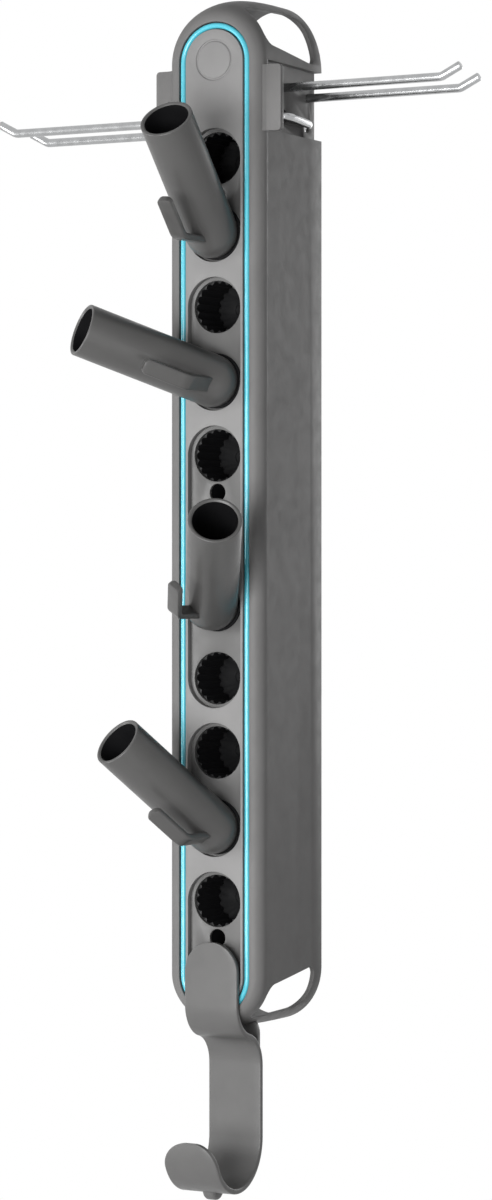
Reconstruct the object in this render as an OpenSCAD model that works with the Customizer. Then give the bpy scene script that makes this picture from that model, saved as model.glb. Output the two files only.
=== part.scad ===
// Wall-mounted garden tool rack.
// A deep, open-backed column carries a strip of splined sockets behind a windowed face.
// Angled tube holders and a wide J hook plug into the sockets. Two bent wire hooks pass
// through the column near its top.
// Frame: +X to the right, +Y into the wall, +Z up. The wall is the plane Y = 0.
// The origin is the middle wall screw's hole, at the wall.

/* [Column] */
// Width of the column
body_w = 63; // [60:0.5:68]
// Depth of the column, wall to front face
body_d = 78.4; // [74:0.2:86]
// Wall thickness of the housing
wall_t = 2.6; // [2:0.1:3]
// Radius of the housing's front edge
edge_r = 7.3; // [6.5:0.1:8]
// Thickness of the front face and of the housing's front rim
face_t = 4.4; // [4:0.1:5]
// Height of the top dome above its arc's centre, at the wall
dome_top_h = 42.3; // [40:0.1:44]
// Depth of the bottom dome below its arc's centre, at the wall
dome_bottom_h = 33.5; // [32:0.1:36]
// Distance from the top recess's centre up to the face's top arc centre
arc_top_up = 79; // [76:1:86]

/* [Sockets] */
// Distance between neighbouring sockets
socket_pitch = 44; // [43:0.5:46]
// Number of double recesses in the face
recess_n = 6; // [6:1:8]
// Radius of a recess's round ends
recess_r = 17.6; // [17.4:0.1:18]
// Radius to the crests of the socket's splines
spline_r = 13.8; // [13.2:0.1:13.9]
// Number of splines round a socket
spline_n = 18; // [12:1:20]
// Radius of one spline groove
spline_groove_r = 2; // [1.5:0.1:2.1]
// Depth of a socket below its recess
socket_depth = 30; // [29:0.5:34]
// Wall thickness of a socket
socket_wall = 1.8; // [1.4:0.1:2]
// Thickness of the socket strip's plate
strip_t = 2.5; // [2:0.1:2.6]

/* [Face and trim] */
// Width of the groove that the trim ring lies in
groove_w = 4.5; // [4.2:0.1:4.8]
// Width of the trim ring's bead
bead_w = 3.4; // [2.8:0.1:3.6]
// Radius of the plain round seat on the face
seat_r = 12.2; // [10:0.1:13]
// Depth of the seat's ring
seat_ring_depth = 0.8; // [0.5:0.1:1.2]

/* [Wall screws] */
// Radius of a screwdriver access hole
access_r = 5.25; // [4.5:0.05:5.4]
// Radius of a wall screw's hole
wall_screw_r = 2.75; // [2.2:0.05:3.2]
// Thickness of a wall screw's seat
screw_seat_t = 4; // [3:0.5:6]
// Wall thickness of a screw tube
screw_tube_wall = 1.5; // [1.2:0.1:2]

/* [Side recesses and wings] */
// Height of a side recess's floor edge above the top recess's centre
side_recess_up = 38; // [37:1:41]
// Height of a side recess
side_recess_h = 41.3; // [40:0.1:42]
// Depth of a side recess into the column's side
side_recess_in = 5; // [4:0.1:6]
// Width of the slot low in a side recess
slot_w = 34; // [24:1:36]
// Height of that slot
slot_h = 6.5; // [4:0.5:6.5]
// How far a wing stands out from the column's side
wing_out = 10.4; // [8:0.1:12]
// Height of a wing
wing_h = 39; // [36:0.5:40]
// Distance from the front face back to a wing's front
wing_back = 5; // [4.8:0.1:6]
// Thickness of a wing
wing_t = 3.9; // [3:0.1:4.2]
// Corner radius of a wing
wing_r = 5.5; // [3:0.5:7]

/* [Wire hooks] */
// Diameter of the wire
wire_d = 5.2; // [4.6:0.1:5.4]
// Distance between a hook's two prongs
prong_gap = 33; // [31:0.5:34]
// Distance from the wall to the rear prong
prong_wall = 8.5; // [8:0.5:10]
// Height of the lower wire hook above the side recess's floor edge
lower_hook_up = 11.2; // [11:0.2:12]
// Height of the upper wire hook above the lower one
hook_step = 16.8; // [15:0.2:18]
// Length from the closed end to the bend of the tips
prong_len = 189.5; // [160:0.5:200]
// How much shorter the rear prong is
prong_step = 3; // [0:0.5:5]
// Length of a raised tip
tip_len = 13.8; // [10:0.2:16]
// Angle of a raised tip
tip_angle = 27; // [15:1:40]
// Radius of the wire's bends, to its middle
wire_bend_r = 6.6; // [5.5:0.1:9]
// Slope of a wire hook down towards the wall
wire_slope = 4.5; // [0:0.5:5]
// Running clearance of the wire in its holes
wire_gap = 0.08; // [0.05:0.01:0.1]
// How far the holes are lengthened where a closed end's bends sit in them
bend_room = 2.8; // [2.6:0.1:3]
// How far the upper hook's closed end stands off the column
upper_hook_off = 29.4; // [10:0.2:40]

/* [Tube holders] */
// Outer diameter of a holder's tube
tube_d = 31.4; // [30:0.1:32]
// Wall thickness of a holder's tube
tube_wall = 2.4; // [2:0.1:3]
// Length from the elbow's centre to the mouth
tube_len = 85.3; // [75:0.1:90]
// Angle between the tube and the socket's axis
tube_angle = 45; // [42:1:48]
// Distance from the recess floor to the elbow's centre
elbow_out = 7.4; // [7:0.1:9]
// Depth that stays solid above the elbow's centre
tube_floor = 14; // [12:0.5:20]
// Turn of the first holder from upright
turn_1 = 3; // [-90:1:90]
// Turn of the second holder from upright
turn_2 = -62; // [-90:1:90]
// Turn of the third holder from upright
turn_3 = 36; // [-90:1:90]
// Turn of the fourth holder from upright
turn_4 = -29; // [-90:1:90]

/* [Side hook of a holder] */
// Width of the side hook's strip
lug_w = 9.4; // [8:0.2:12]
// Thickness of the side hook's strip
lug_t = 4; // [3:0.1:4.4]
// Distance from the tube's axis to the middle of the hook's upright
lug_out = 31.2; // [28:0.1:33]
// Distance from the elbow to the hook's tip, along the tube
lug_reach = 51.5; // [46:0.5:56]
// Distance of the hook's arm below the elbow's centre
lug_drop = 5.6; // [3:0.1:7]
// Radius of the hook's bend, to the strip's middle
lug_bend_r = 8; // [4:0.5:9]
// Corner radius of the hook's tip
lug_tip_r = 3; // [2:0.1:4]

/* [Bush and its screw] */
// Radius of the bush's bore
bush_bore_r = 11; // [10.4:0.1:11.2]
// Length of the bush in its socket
bush_len = 26; // [22:0.5:26]
// Radius of the bush's flange
flange_r = 16.3; // [15.8:0.1:16.6]
// Thickness of the bush's flange
flange_t = 1.5; // [1:0.1:1.5]
// Clearance between a plug's splines and its socket
plug_gap = 0.25; // [0.15:0.05:0.35]
// Running clearance of the holder's stub in the bush
stub_gap = 0.05; // [0.02:0.01:0.1]
// Radius of the retaining screw's head
washer_r = 12.4; // [12:0.1:12.6]
// Thickness of the retaining screw's head
washer_t = 1.6; // [1.2:0.1:2]
// Shank radius of the retaining screw
stub_screw_r = 2; // [1.5:0.1:2.5]
// Length of the retaining screw in the stub
stub_screw_len = 12; // [8:0.5:16]

/* [J hook] */
// Width of the J hook's strip
j_w = 35.4; // [32:0.2:36]
// Thickness of the J hook's strip
j_t = 3.3; // [3:0.1:4]
// Height of the tongue's arc centre above the socket's axis
j_tongue_up = 2.5; // [0:0.5:5]
// Length of the tongue from the socket's axis down to the S bend
j_tongue_down = 17; // [15:0.5:20]
// Gap between the tongue and the front face
j_stand_off = 0.9; // [0.6:0.1:1.5]
// How far the shank lies behind the tongue
j_set_back = 30; // [28:0.1:32]
// Height of the S bend
j_bend_h = 38; // [36:0.5:42]
// Length of the straight shank
j_shank_h = 42.5; // [36:0.5:60]
// Radius of the J, to the strip's middle
j_r = 28.3; // [26:0.1:30]
// Length of the straight tip above the J's centre
j_tip_up = 2.5; // [2:0.5:12]
// Corner radius of the tip
j_corner_r = 15; // [6:0.5:15.5]
// Radius of the small foot under the J
j_foot_r = 7; // [6:0.1:8]
// Width of the foot
j_foot_w = 8.5; // [6:0.5:12]
// How far the foot stands out below the J
j_foot_out = 4.7; // [2:0.1:5]
// Width of the support lug behind the S bend
j_lug_w = 31; // [20:0.5:32]

/* [Inner screws] */
// Shank radius of the inner screws
screw_r = 1.2; // [1:0.05:1.2]
// Head radius of the inner screws
screw_head_r = 2.2; // [1.8:0.1:2.3]
// Head height of the inner screws
screw_head_h = 1.6; // [1.2:0.1:1.8]
// Length of the inner screws in the piece that they bite
screw_bite = 2.6; // [2:0.1:2.8]

/* [Hidden] */
$fn = 48;
arc_n = 20;
rim_land = 0.5;
seat_gap = 0.3;
touch_gap = 0.05;
thread_gap = 0.05;
bend_lap = 0.15;
bend_step = 0.01;
dome_power = 2.5;

half_w = body_w / 2;
arc_r = half_w - edge_r;
front_y = -body_d;
floor_y = front_y + face_t;
strip_back_y = floor_y + strip_t;
rim_r = arc_r - rim_land;
face_r = rim_r - groove_w;
ring_mid_r = rim_r - groove_w / 2;

recess_pitch = 2 * socket_pitch;
mid_recess = 2;
function recess_z(i) = (mid_recess - i) * recess_pitch;
function socket_z(k) = recess_z(floor(k / 2)) + (k % 2 == 0 ? 1 : -1) * socket_pitch / 2;
arc_top_z = recess_z(0) + arc_top_up;
arc_bottom_z = recess_z(recess_n - 1) - socket_pitch / 2;

// Sockets counted from the top that hold the holders and the J hook, and recesses with wall screws
holder_sockets = [1, 3, 6, 9];
holder_turns = [turn_1, turn_2, turn_3, turn_4];
j_socket = 2 * recess_n - 1;
screw_recesses = [0, mid_recess, recess_n - 1];

groove_mid_r = spline_r - 0.4;
socket_out_r = groove_mid_r + spline_groove_r + socket_wall;

side_floor_x = half_w - side_recess_in;
side_bottom_z = recess_z(0) + side_recess_up;
side_top_z = side_bottom_z + side_recess_h;
wing_y = front_y + wing_back;
side_front_y = wing_y + wing_t;

wire_r = wire_d / 2;
rear_prong_y = -prong_wall;
front_prong_y = rear_prong_y - prong_gap * cos(wire_slope);
lower_wire_z = side_bottom_z + lower_hook_up;
upper_wire_z = lower_wire_z + hook_step;
lower_closed_x = side_floor_x + wire_r + seat_gap;
upper_closed_x = -(side_floor_x + wire_r + upper_hook_off);

elbow_y = floor_y - elbow_out;
tube_r = tube_d / 2;
bore_r = tube_r - tube_wall;
flange_front_y = floor_y - touch_gap - flange_t;
elbow_back_y = flange_front_y - seat_gap;
neck_front_y = front_y - 0.6;
neck_r = recess_r - 1;
bush_back_y = floor_y + bush_len;
stub_back_y = bush_back_y + seat_gap;

j_back_y = front_y - j_stand_off;
j_front_y = j_back_y - j_t;
j_tongue_y = j_back_y - j_t / 2;
j_z = socket_z(j_socket);
j_bend_top_z = j_z - j_tongue_down;
j_bend_bottom_z = j_bend_top_z - j_bend_h;
j_bend_angle = 2 * atan(j_set_back / j_bend_h);
j_bend_r = j_bend_h / (2 * sin(j_bend_angle));
j_shank_y = j_tongue_y + j_set_back;
j_arc_z = j_bend_bottom_z - j_shank_h;
j_arc_y = j_shank_y - j_r;
j_foot_z = j_arc_z - j_r - j_t / 2 - j_foot_out + j_foot_r;

// Heights of the inner screws: the strip's pairs and the face's single row
strip_screw_x = (rim_r + half_w - wall_t - 0.5) / 2 - 0.35;
strip_screw_z = concat([socket_z(0)],
    [for (i = [1 : 2 : recess_n - 2]) recess_z(i) - socket_pitch], [recess_z(recess_n - 1)]);
face_screw_z = concat([arc_top_z - face_r],
    [for (i = [0 : recess_n - 2]) recess_z(i) - socket_pitch]);

anthracite = [0.30, 0.30, 0.29];
mid_grey = [0.36, 0.36, 0.35];
near_black = [0.10, 0.10, 0.10];
teal = [0.30, 0.72, 0.78];
steel = [0.80, 0.80, 0.80];

// Points of an upright stadium whose ends are half ellipses, anticlockwise from its right side
function stadium(w, top, bottom) = concat(
    [for (i = [0 : arc_n]) [w * cos(180 * i / arc_n), arc_top_z + top * sin(180 * i / arc_n)]],
    [for (i = [0 : arc_n]) [-w * cos(180 * i / arc_n), arc_bottom_z - bottom * sin(180 * i / arc_n)]]);

// The column's form at distance d behind its front face, shrunk by t
function dome_share(d) = pow(1 - pow(1 - min(d, body_d) / body_d, dome_power), 0.4);
function form_w(d, t) = arc_r + (d < edge_r
    ? sqrt(max(0, pow(edge_r - t, 2) - pow(edge_r - d, 2))) : edge_r - t);
function dome_at(h, d, t) = arc_r + (h - arc_r) * dome_share(max(0, d - t / 2)) - t;
function form_outline(d, t) = stadium(form_w(d, t), dome_at(dome_top_h, d, t), dome_at(dome_bottom_h, d, t));

edge_steps = [for (a = [0 : 15 : 90]) edge_r * (1 - cos(a))];
deep_steps = [for (s = [0.14, 0.21, 0.31, 0.43, 0.6, 0.8]) body_d * s];

// Points of a polygon whose corners [x, y, radius] are rounded; corners run anticlockwise
function toward(a, b) = (b - a) / norm(b - a);
function flat_point(c) = [c[0], c[1]];
function rounded(c, n = 8) = [
    for (i = [0 : len(c) - 1])
        let (p = flat_point(c[i]),
            u = toward(p, flat_point(c[(i + len(c) - 1) % len(c)])),
            v = toward(p, flat_point(c[(i + 1) % len(c)])),
            half = acos(u * v) / 2,
            centre = p + toward([0, 0], u + v) * c[i][2] / sin(half),
            start = p + u * c[i][2] / tan(half) - centre,
            sweep = 180 - 2 * half)
        for (k = [0 : n])
            centre + [start[0] * cos(sweep * k / n) - start[1] * sin(sweep * k / n),
                start[0] * sin(sweep * k / n) + start[1] * cos(sweep * k / n)]];

// Joins outlines [depth, points] into one closed form; depth runs along Y
module loft(rings) {
    n = len(rings[0][1]);
    m = len(rings);
    polyhedron(
        points = [for (r = rings) for (p = r[1]) [p[0], r[0], p[1]]],
        faces = concat(
            [[for (i = [n - 1 : -1 : 0]) i]],
            [[for (i = [0 : n - 1]) (m - 1) * n + i]],
            [for (j = [0 : m - 2]) for (i = [0 : n - 1])
                [j * n + i, j * n + (i + 1) % n, (j + 1) * n + (i + 1) % n]],
            [for (j = [0 : m - 2]) for (i = [0 : n - 1])
                [j * n + i, (j + 1) * n + (i + 1) % n, (j + 1) * n + i]]));
}

// Slab from y0 to y1 of a drawing in (x, z)
module slab(y0, y1) {
    translate([0, y1, 0]) rotate([90, 0, 0]) linear_extrude(y1 - y0) children();
}

// Slab from x0 to x1 of a drawing in (y, z)
module side_slab(x0, x1) {
    translate([x0, 0, 0]) rotate([90, 0, 90]) linear_extrude(x1 - x0) children();
}

module y_cylinder(r, y0, y1, x = 0, z = 0) {
    translate([x, y1, z]) rotate([90, 0, 0]) cylinder(r = r, h = y1 - y0);
}

module box(x0, x1, y0, y1, z0, z1) {
    translate([x0, y0, z0]) cube([x1 - x0, y1 - y0, z1 - z0]);
}

module both_sides() {
    children();
    mirror([1, 0, 0]) children();
}

// Upright stadium with round ends of radius r between the centres zt and zb
module round_stadium(r, zt, zb) {
    translate([0, zt]) circle(r);
    translate([0, zb]) circle(r);
    translate([-r, zb]) square([2 * r, zt - zb]);
}

// Outline of a splined socket, or of a plug that is smaller by gap all round
module splines(gap) {
    circle(spline_r - gap);
    for (k = [0 : spline_n - 1])
        rotate(k * 360 / spline_n) translate([groove_mid_r, 0]) circle(spline_groove_r - gap, $fn = 24);
}

// Leaf-shaped windows through the domes' sides, drawn in (y, z)
module top_window() {
    polygon(rounded([
        [front_y + 10, arc_top_z + 10.5, 8],
        [-9, arc_top_z + 3.6, 5],
        [-9, arc_top_z + 34.8, 11],
        [front_y + 10.4, arc_top_z + 32.3, 3.5]]));
}

module bottom_window() {
    polygon(rounded([
        [front_y + 11.4, arc_bottom_z - 26, 3.5],
        [-9.5, arc_bottom_z - 23.6, 12],
        [-9.5, arc_bottom_z + 1.6, 5],
        [front_y + 11.4, arc_bottom_z - 6, 8]]));
}

// Centres of both prongs of a hook whose front prong lies at height z
module at_prongs(z) {
    translate([0, front_prong_y, z]) children();
    translate([0, rear_prong_y, z - prong_gap * sin(wire_slope)]) children();
}

housing();
module housing() {
    inner_x = side_floor_x - wall_t + 0.2;
    color(anthracite) difference() {
        union() {
            difference() {
                loft(concat([for (d = concat(edge_steps, deep_steps, [body_d]))
                    [front_y + d, form_outline(d, 0)]]));
                loft(concat([for (d = concat([face_t, face_t + 0.8, face_t + 1.8], [edge_r], deep_steps,
                    [body_d])) [front_y + d, form_outline(d, wall_t)]],
                    [[1, form_outline(body_d, wall_t)]]));
            }
            both_sides() {
                box(inner_x, half_w - wall_t + 0.6, strip_back_y + 0.1, 0,
                    side_bottom_z - wall_t, side_top_z + wall_t);
                slab(wing_y, side_front_y) wing_outline();
            }
        }
        both_sides() box(side_floor_x, half_w + 1, side_front_y, 1, side_bottom_z, side_top_z);
        box(-side_floor_x - 1, side_floor_x + 1, -14 - slot_w, -14, side_bottom_z + 0.5,
            side_bottom_z + 0.5 + slot_h);
        slab(front_y - 1, floor_y + 1) round_stadium(rim_r, arc_top_z, arc_bottom_z);
        side_slab(-half_w - 1, half_w + 1) top_window();
        side_slab(-half_w - 1, half_w + 1) bottom_window();
        for (z = [lower_wire_z, upper_wire_z]) at_prongs(z)
            rotate([0, 90, 0]) cylinder(r = wire_r + wire_gap, h = body_w, center = true);
        bend_slots(lower_wire_z);
        mirror([1, 0, 0]) bend_slots(upper_wire_z);
        both_sides() for (z = strip_screw_z)
            y_cylinder(screw_r + thread_gap, floor_y - screw_bite - 0.2, floor_y + 0.1, strip_screw_x, z);
    }
}

// Lengthens the prongs' holes in the right side wall towards each other
module bend_slots(z) {
    r = wire_r + wire_gap;
    x0 = side_floor_x - wall_t;
    translate([0, front_prong_y, z]) rotate([-wire_slope, 0, 0])
        for (y = [bend_room, prong_gap - bend_room]) {
            translate([x0, y, 0]) rotate([0, 90, 0]) cylinder(r = r, h = wall_t + 1);
            box(x0, side_floor_x + 1, y < prong_gap / 2 ? 0 : y, y < prong_gap / 2 ? y : prong_gap, -r, r);
        }
}

module wing_outline() {
    mid_z = side_bottom_z - 1.2 + wing_h / 2;
    x1 = half_w + wing_out;
    polygon(rounded([
        [half_w - 1.6, mid_z - wing_h / 2, 0.1],
        [x1, mid_z - wing_h / 2, wing_r],
        [x1, mid_z + wing_h / 2, wing_r],
        [half_w - 1.6, mid_z + wing_h / 2, 0.1]]));
}

socket_strip();
module socket_strip() {
    plate_w = form_w(face_t, wall_t) - seat_gap;
    plate_top = dome_at(dome_top_h, face_t, wall_t) - seat_gap;
    plate_bottom = dome_at(dome_bottom_h, face_t, wall_t) - seat_gap;
    color(near_black) difference() {
        union() {
            slab(floor_y, strip_back_y) polygon(stadium(plate_w, plate_top, plate_bottom));
            for (k = [0 : 2 * recess_n - 1])
                y_cylinder(socket_out_r, strip_back_y - 0.5, floor_y + socket_depth + 2, 0, socket_z(k));
        }
        for (k = [0 : 2 * recess_n - 1])
            translate([0, 0, socket_z(k)]) slab(floor_y - 1, floor_y + socket_depth) splines(0);
        for (i = screw_recesses)
            y_cylinder(access_r + screw_tube_wall + 0.05, floor_y - 1, 0, 0, recess_z(i));
        both_sides() for (z = strip_screw_z)
            y_cylinder(screw_r + thread_gap, floor_y - 1, strip_back_y + 1, strip_screw_x, z);
        for (z = face_screw_z)
            y_cylinder(screw_r + thread_gap, floor_y - 1, strip_back_y + 1, 0, z);
    }
}

// Three tubes from the strip to the wall, each with a wall screw's hole at its rear end
screw_tubes();
module screw_tubes() {
    color(near_black) for (i = screw_recesses) difference() {
        y_cylinder(access_r + screw_tube_wall, floor_y, 0, 0, recess_z(i));
        y_cylinder(access_r, floor_y - 1, -screw_seat_t, 0, recess_z(i));
        y_cylinder(wall_screw_r, -screw_seat_t - 1, 1, 0, recess_z(i));
    }
}

front_face();
module front_face() {
    color(mid_grey) difference() {
        slab(front_y, floor_y) round_stadium(face_r, arc_top_z, arc_bottom_z);
        for (i = [0 : recess_n - 1])
            slab(front_y - 1, floor_y + 1)
                round_stadium(recess_r, recess_z(i) + socket_pitch / 2, recess_z(i) - socket_pitch / 2);
        difference() {
            y_cylinder(seat_r, front_y - 1, front_y + seat_ring_depth, 0, arc_top_z + 1);
            y_cylinder(seat_r - 1.4, front_y - 2, front_y + seat_ring_depth + 1, 0, arc_top_z + 1);
        }
        for (z = face_screw_z)
            y_cylinder(screw_r + thread_gap, floor_y - screw_bite - 0.2, floor_y + 0.1, 0, z);
    }
}

trim_ring();
module bead_section() {
    translate([-bead_w / 2, 0]) square([bead_w, floor_y - front_y - 0.2 - bead_w / 2]);
    translate([0, floor_y - front_y - 0.2 - bead_w / 2]) circle(bead_w / 2, $fn = 32);
}

module trim_ring() {
    color(teal) {
        both_sides() translate([ring_mid_r, floor_y, arc_bottom_z])
            rotate([0, 0, 180]) linear_extrude(arc_top_z - arc_bottom_z) bead_section();
        translate([0, floor_y, arc_top_z]) rotate([90, 0, 0])
            rotate_extrude(angle = 180) translate([ring_mid_r, 0]) bead_section();
        translate([0, floor_y, arc_bottom_z]) rotate([90, 0, 0])
            rotate([0, 0, 180]) rotate_extrude(angle = 180) translate([ring_mid_r, 0]) bead_section();
    }
}

module at_socket(k) {
    translate([0, 0, socket_z(k)]) children();
}

module bush() {
    color(near_black) difference() {
        union() {
            y_cylinder(flange_r, flange_front_y, floor_y - touch_gap);
            slab(floor_y - 0.5, bush_back_y) splines(plug_gap);
        }
        y_cylinder(bush_bore_r, flange_front_y - 1, bush_back_y + 1);
    }
}

bush_1();
module bush_1() at_socket(holder_sockets[0]) bush();

bush_2();
module bush_2() at_socket(holder_sockets[1]) bush();

bush_3();
module bush_3() at_socket(holder_sockets[2]) bush();

bush_4();
module bush_4() at_socket(holder_sockets[3]) bush();

// Arc of a strip seen in (y, z): mid radius r, from angle a0 through the sweep, width w
module arc_strip(cy, cz, r, a0, sweep, w, t) {
    translate([0, cy, cz]) rotate([90, 0, 90]) rotate([0, 0, a0])
        rotate_extrude(angle = sweep, $fn = 96) translate([r - t / 2, -w / 2]) square([t, w]);
}

// Rod along +Z from the origin whose far end is bevelled
module rounded_rod(r, h, bevel) {
    rotate_extrude() polygon([[0, 0], [r, 0], [r, h - bevel], [r - bevel, h], [0, h]]);
}

// Side hook: an arm straight out of the elbow, a bend, and an upright parallel to the tube
module side_hook() {
    a = tube_angle;
    corner_s = (cos(a) * lug_out - lug_drop) / sin(a);
    corner_out = sin(a) * lug_out + cos(a) * corner_s;
    back_off = lug_bend_r * tan(a / 2);
    box(-lug_w / 2, lug_w / 2, -corner_out + back_off - bend_lap, -tube_r + 4,
        -lug_drop - lug_t / 2, -lug_drop + lug_t / 2);
    arc_strip(-corner_out + back_off, -lug_drop + lug_bend_r, lug_bend_r, 270 - a, a,
        lug_w - 2 * bend_step, lug_t - 2 * bend_step);
    rotate([90 - a, 0, 0]) {
        box(-lug_w / 2, lug_w / 2, -lug_out - lug_t / 2, -lug_out + lug_t / 2,
            corner_s + back_off - bend_lap, lug_reach - lug_tip_r);
        slab(-lug_out - lug_t / 2, -lug_out + lug_t / 2) polygon(rounded([
            [-lug_w / 2, corner_s + back_off, 0.1],
            [lug_w / 2, corner_s + back_off, 0.1],
            [lug_w / 2, lug_reach, lug_tip_r],
            [-lug_w / 2, lug_reach, lug_tip_r]]));
    }
}

// Holder with its elbow's centre at the origin and its tube leaning forward and up
module holder_form() {
    rotate([90 - tube_angle, 0, 0]) rounded_rod(tube_r, tube_len, 0.7);
    sphere(r = tube_r - 2 * bend_step, $fn = 64);
    side_hook();
}

module holder(turn) {
    color(anthracite) rotate([0, turn, 0]) difference() {
        union() {
            difference() {
                translate([0, elbow_y, 0]) holder_form();
                box(-40, 40, elbow_back_y, 40, -40, 60);
                difference() {
                    box(-40, 40, neck_front_y, 40, -40, 60);
                    y_cylinder(neck_r, neck_front_y - 1, 0);
                }
            }
            y_cylinder(bush_bore_r - stub_gap, elbow_back_y - 2, stub_back_y);
        }
        translate([0, elbow_y, 0]) rotate([90 - tube_angle, 0, 0]) {
            translate([0, 0, tube_floor]) cylinder(r = bore_r, h = tube_len);
            translate([0, 0, tube_len - 0.8]) cylinder(r1 = bore_r, r2 = bore_r + 0.9, h = 0.9);
        }
        y_cylinder(stub_screw_r + thread_gap, stub_back_y - stub_screw_len - 0.3, stub_back_y + 1);
    }
}

holder_1();
module holder_1() at_socket(holder_sockets[0]) holder(holder_turns[0]);

holder_2();
module holder_2() at_socket(holder_sockets[1]) holder(holder_turns[1]);

holder_3();
module holder_3() at_socket(holder_sockets[2]) holder(holder_turns[2]);

holder_4();
module holder_4() at_socket(holder_sockets[3]) holder(holder_turns[3]);

module bush_screw() {
    color(steel) difference() {
        union() {
            y_cylinder(washer_r, stub_back_y, stub_back_y + washer_t);
            y_cylinder(stub_screw_r, stub_back_y - stub_screw_len, stub_back_y + 0.5);
        }
        translate([0, stub_back_y + washer_t - 0.8, 0]) rotate([-90, 0, 0])
            cylinder(r = 1.8, h = 2, $fn = 6);
    }
}

bush_screw_1();
module bush_screw_1() at_socket(holder_sockets[0]) bush_screw();

bush_screw_2();
module bush_screw_2() at_socket(holder_sockets[1]) bush_screw();

bush_screw_3();
module bush_screw_3() at_socket(holder_sockets[2]) bush_screw();

bush_screw_4();
module bush_screw_4() at_socket(holder_sockets[3]) bush_screw();

// The column's lower front, grown by the gap that the J hook keeps to it
module dome_relief() {
    loft(concat([[front_y - seat_gap, form_outline(0, -seat_gap)]],
        [for (d = concat([for (e = edge_steps) if (e > 0) e], deep_steps, [body_d]))
            [front_y + d, form_outline(d, -seat_gap)]]));
}

// Corners in (x, z) that are cut off the J's tip
module tip_cutter() {
    z1 = j_arc_z + j_tip_up;
    for (s = [-1, 1]) translate([s * (j_w / 2 - j_corner_r), z1 - j_corner_r]) difference() {
        translate([s > 0 ? 0 : -j_corner_r - 1, 0]) square(j_corner_r + 1);
        circle(j_corner_r);
    }
}

j_hook();
module j_hook() {
    tip_y = j_arc_y - j_r;
    color(mid_grey) {
        translate([0, 0, j_z]) {
            slab(j_front_y, j_back_y) round_stadium(j_w / 2, j_tongue_up, j_tongue_up - 0.01);
            slab(floor_y - 0.5, bush_back_y) splines(plug_gap);
            y_cylinder(flange_r, j_back_y - 0.5, floor_y - touch_gap);
        }
        box(-j_w / 2, j_w / 2, j_front_y, j_back_y, j_bend_top_z, j_z + j_tongue_up);
        difference() {
            union() {
                arc_strip(j_tongue_y + j_bend_r, j_bend_top_z, j_bend_r, 180, j_bend_angle + 0.3, j_w, j_t);
                arc_strip(j_shank_y - j_bend_r, j_bend_bottom_z, j_bend_r, 0, j_bend_angle + 0.3, j_w, j_t);
                box(-j_lug_w / 2, j_lug_w / 2, j_shank_y - j_t / 2, j_shank_y + j_t / 2,
                    j_bend_bottom_z, arc_bottom_z - arc_r);
            }
            dome_relief();
        }
        box(-j_w / 2, j_w / 2, j_shank_y - j_t / 2, j_shank_y + j_t / 2, j_arc_z, j_bend_bottom_z);
        difference() {
            union() {
                arc_strip(j_arc_y, j_arc_z, j_r, 180, 180, j_w, j_t);
                box(-j_w / 2, j_w / 2, tip_y - j_t / 2, tip_y + j_t / 2, j_arc_z, j_arc_z + j_tip_up);
            }
            slab(tip_y - j_t, j_arc_y) tip_cutter();
        }
        difference() {
            translate([-j_foot_w / 2, j_arc_y, j_foot_z]) rotate([0, 90, 0])
                cylinder(r = j_foot_r, h = j_foot_w);
            translate([-j_foot_w, j_arc_y, j_arc_z]) rotate([0, 90, 0])
                cylinder(r = j_r, h = 2 * j_foot_w, $fn = 96);
        }
    }
}

// Wire hook with its front prong along +X from the closed end's bar at the origin
module wire_hook() {
    tangent = wire_bend_r * tan(tip_angle / 2);
    translate([0, wire_bend_r, 0]) rotate([-90, 0, 0])
        cylinder(r = wire_r, h = prong_gap - 2 * wire_bend_r);
    translate([wire_bend_r, wire_bend_r, 0]) rotate([0, 0, 180])
        rotate_extrude(angle = 90) translate([wire_bend_r, 0]) circle(wire_r);
    translate([wire_bend_r, prong_gap - wire_bend_r, 0]) rotate([0, 0, 90])
        rotate_extrude(angle = 90) translate([wire_bend_r, 0]) circle(wire_r);
    for (side = [0, 1]) translate([0, side * prong_gap, 0]) {
        bend_x = prong_len - side * prong_step;
        translate([wire_bend_r, 0, 0]) rotate([0, 90, 0])
            cylinder(r = wire_r, h = bend_x - tangent - wire_bend_r + bend_lap);
        translate([bend_x - tangent, 0, wire_bend_r]) rotate([90, 0, 0]) rotate([0, 0, -90])
            rotate_extrude(angle = tip_angle) translate([wire_bend_r, 0]) circle(wire_r - bend_step);
        translate([bend_x, 0, 0]) rotate([0, 90 - tip_angle, 0]) {
            translate([0, 0, tangent - bend_lap]) rounded_rod(wire_r, tip_len - tangent + bend_lap, 0.6);
        }
    }
}

wire_hook_left();
module wire_hook_left() {
    color(steel) translate([lower_closed_x, front_prong_y, lower_wire_z])
        rotate([-wire_slope, 0, 0]) mirror([1, 0, 0]) wire_hook();
}

wire_hook_right();
module wire_hook_right() {
    color(steel) translate([upper_closed_x, front_prong_y, upper_wire_z])
        rotate([-wire_slope, 0, 0]) wire_hook();
}

// Small screw that enters along -Y, its head on the plane y = strip_back_y
module inner_screw(x, z) {
    difference() {
        union() {
            y_cylinder(screw_r, floor_y - screw_bite, strip_back_y + 0.2, x, z);
            y_cylinder(screw_head_r, strip_back_y, strip_back_y + screw_head_h, x, z);
        }
        translate([x, strip_back_y + screw_head_h - 0.8, z]) rotate([-90, 0, 0])
            cylinder(r = 1.1, h = 2, $fn = 6);
    }
}

strip_screws();
module strip_screws() {
    color(steel) for (z = strip_screw_z) {
        inner_screw(strip_screw_x, z);
        inner_screw(-strip_screw_x, z);
    }
}

face_screws();
module face_screws() {
    color(steel) for (z = face_screw_z) inner_screw(0, z);
}
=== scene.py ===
import logging
import math
from collections.abc import Callable, Iterator
from contextlib import contextmanager
from dataclasses import dataclass
from enum import Enum

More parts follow.
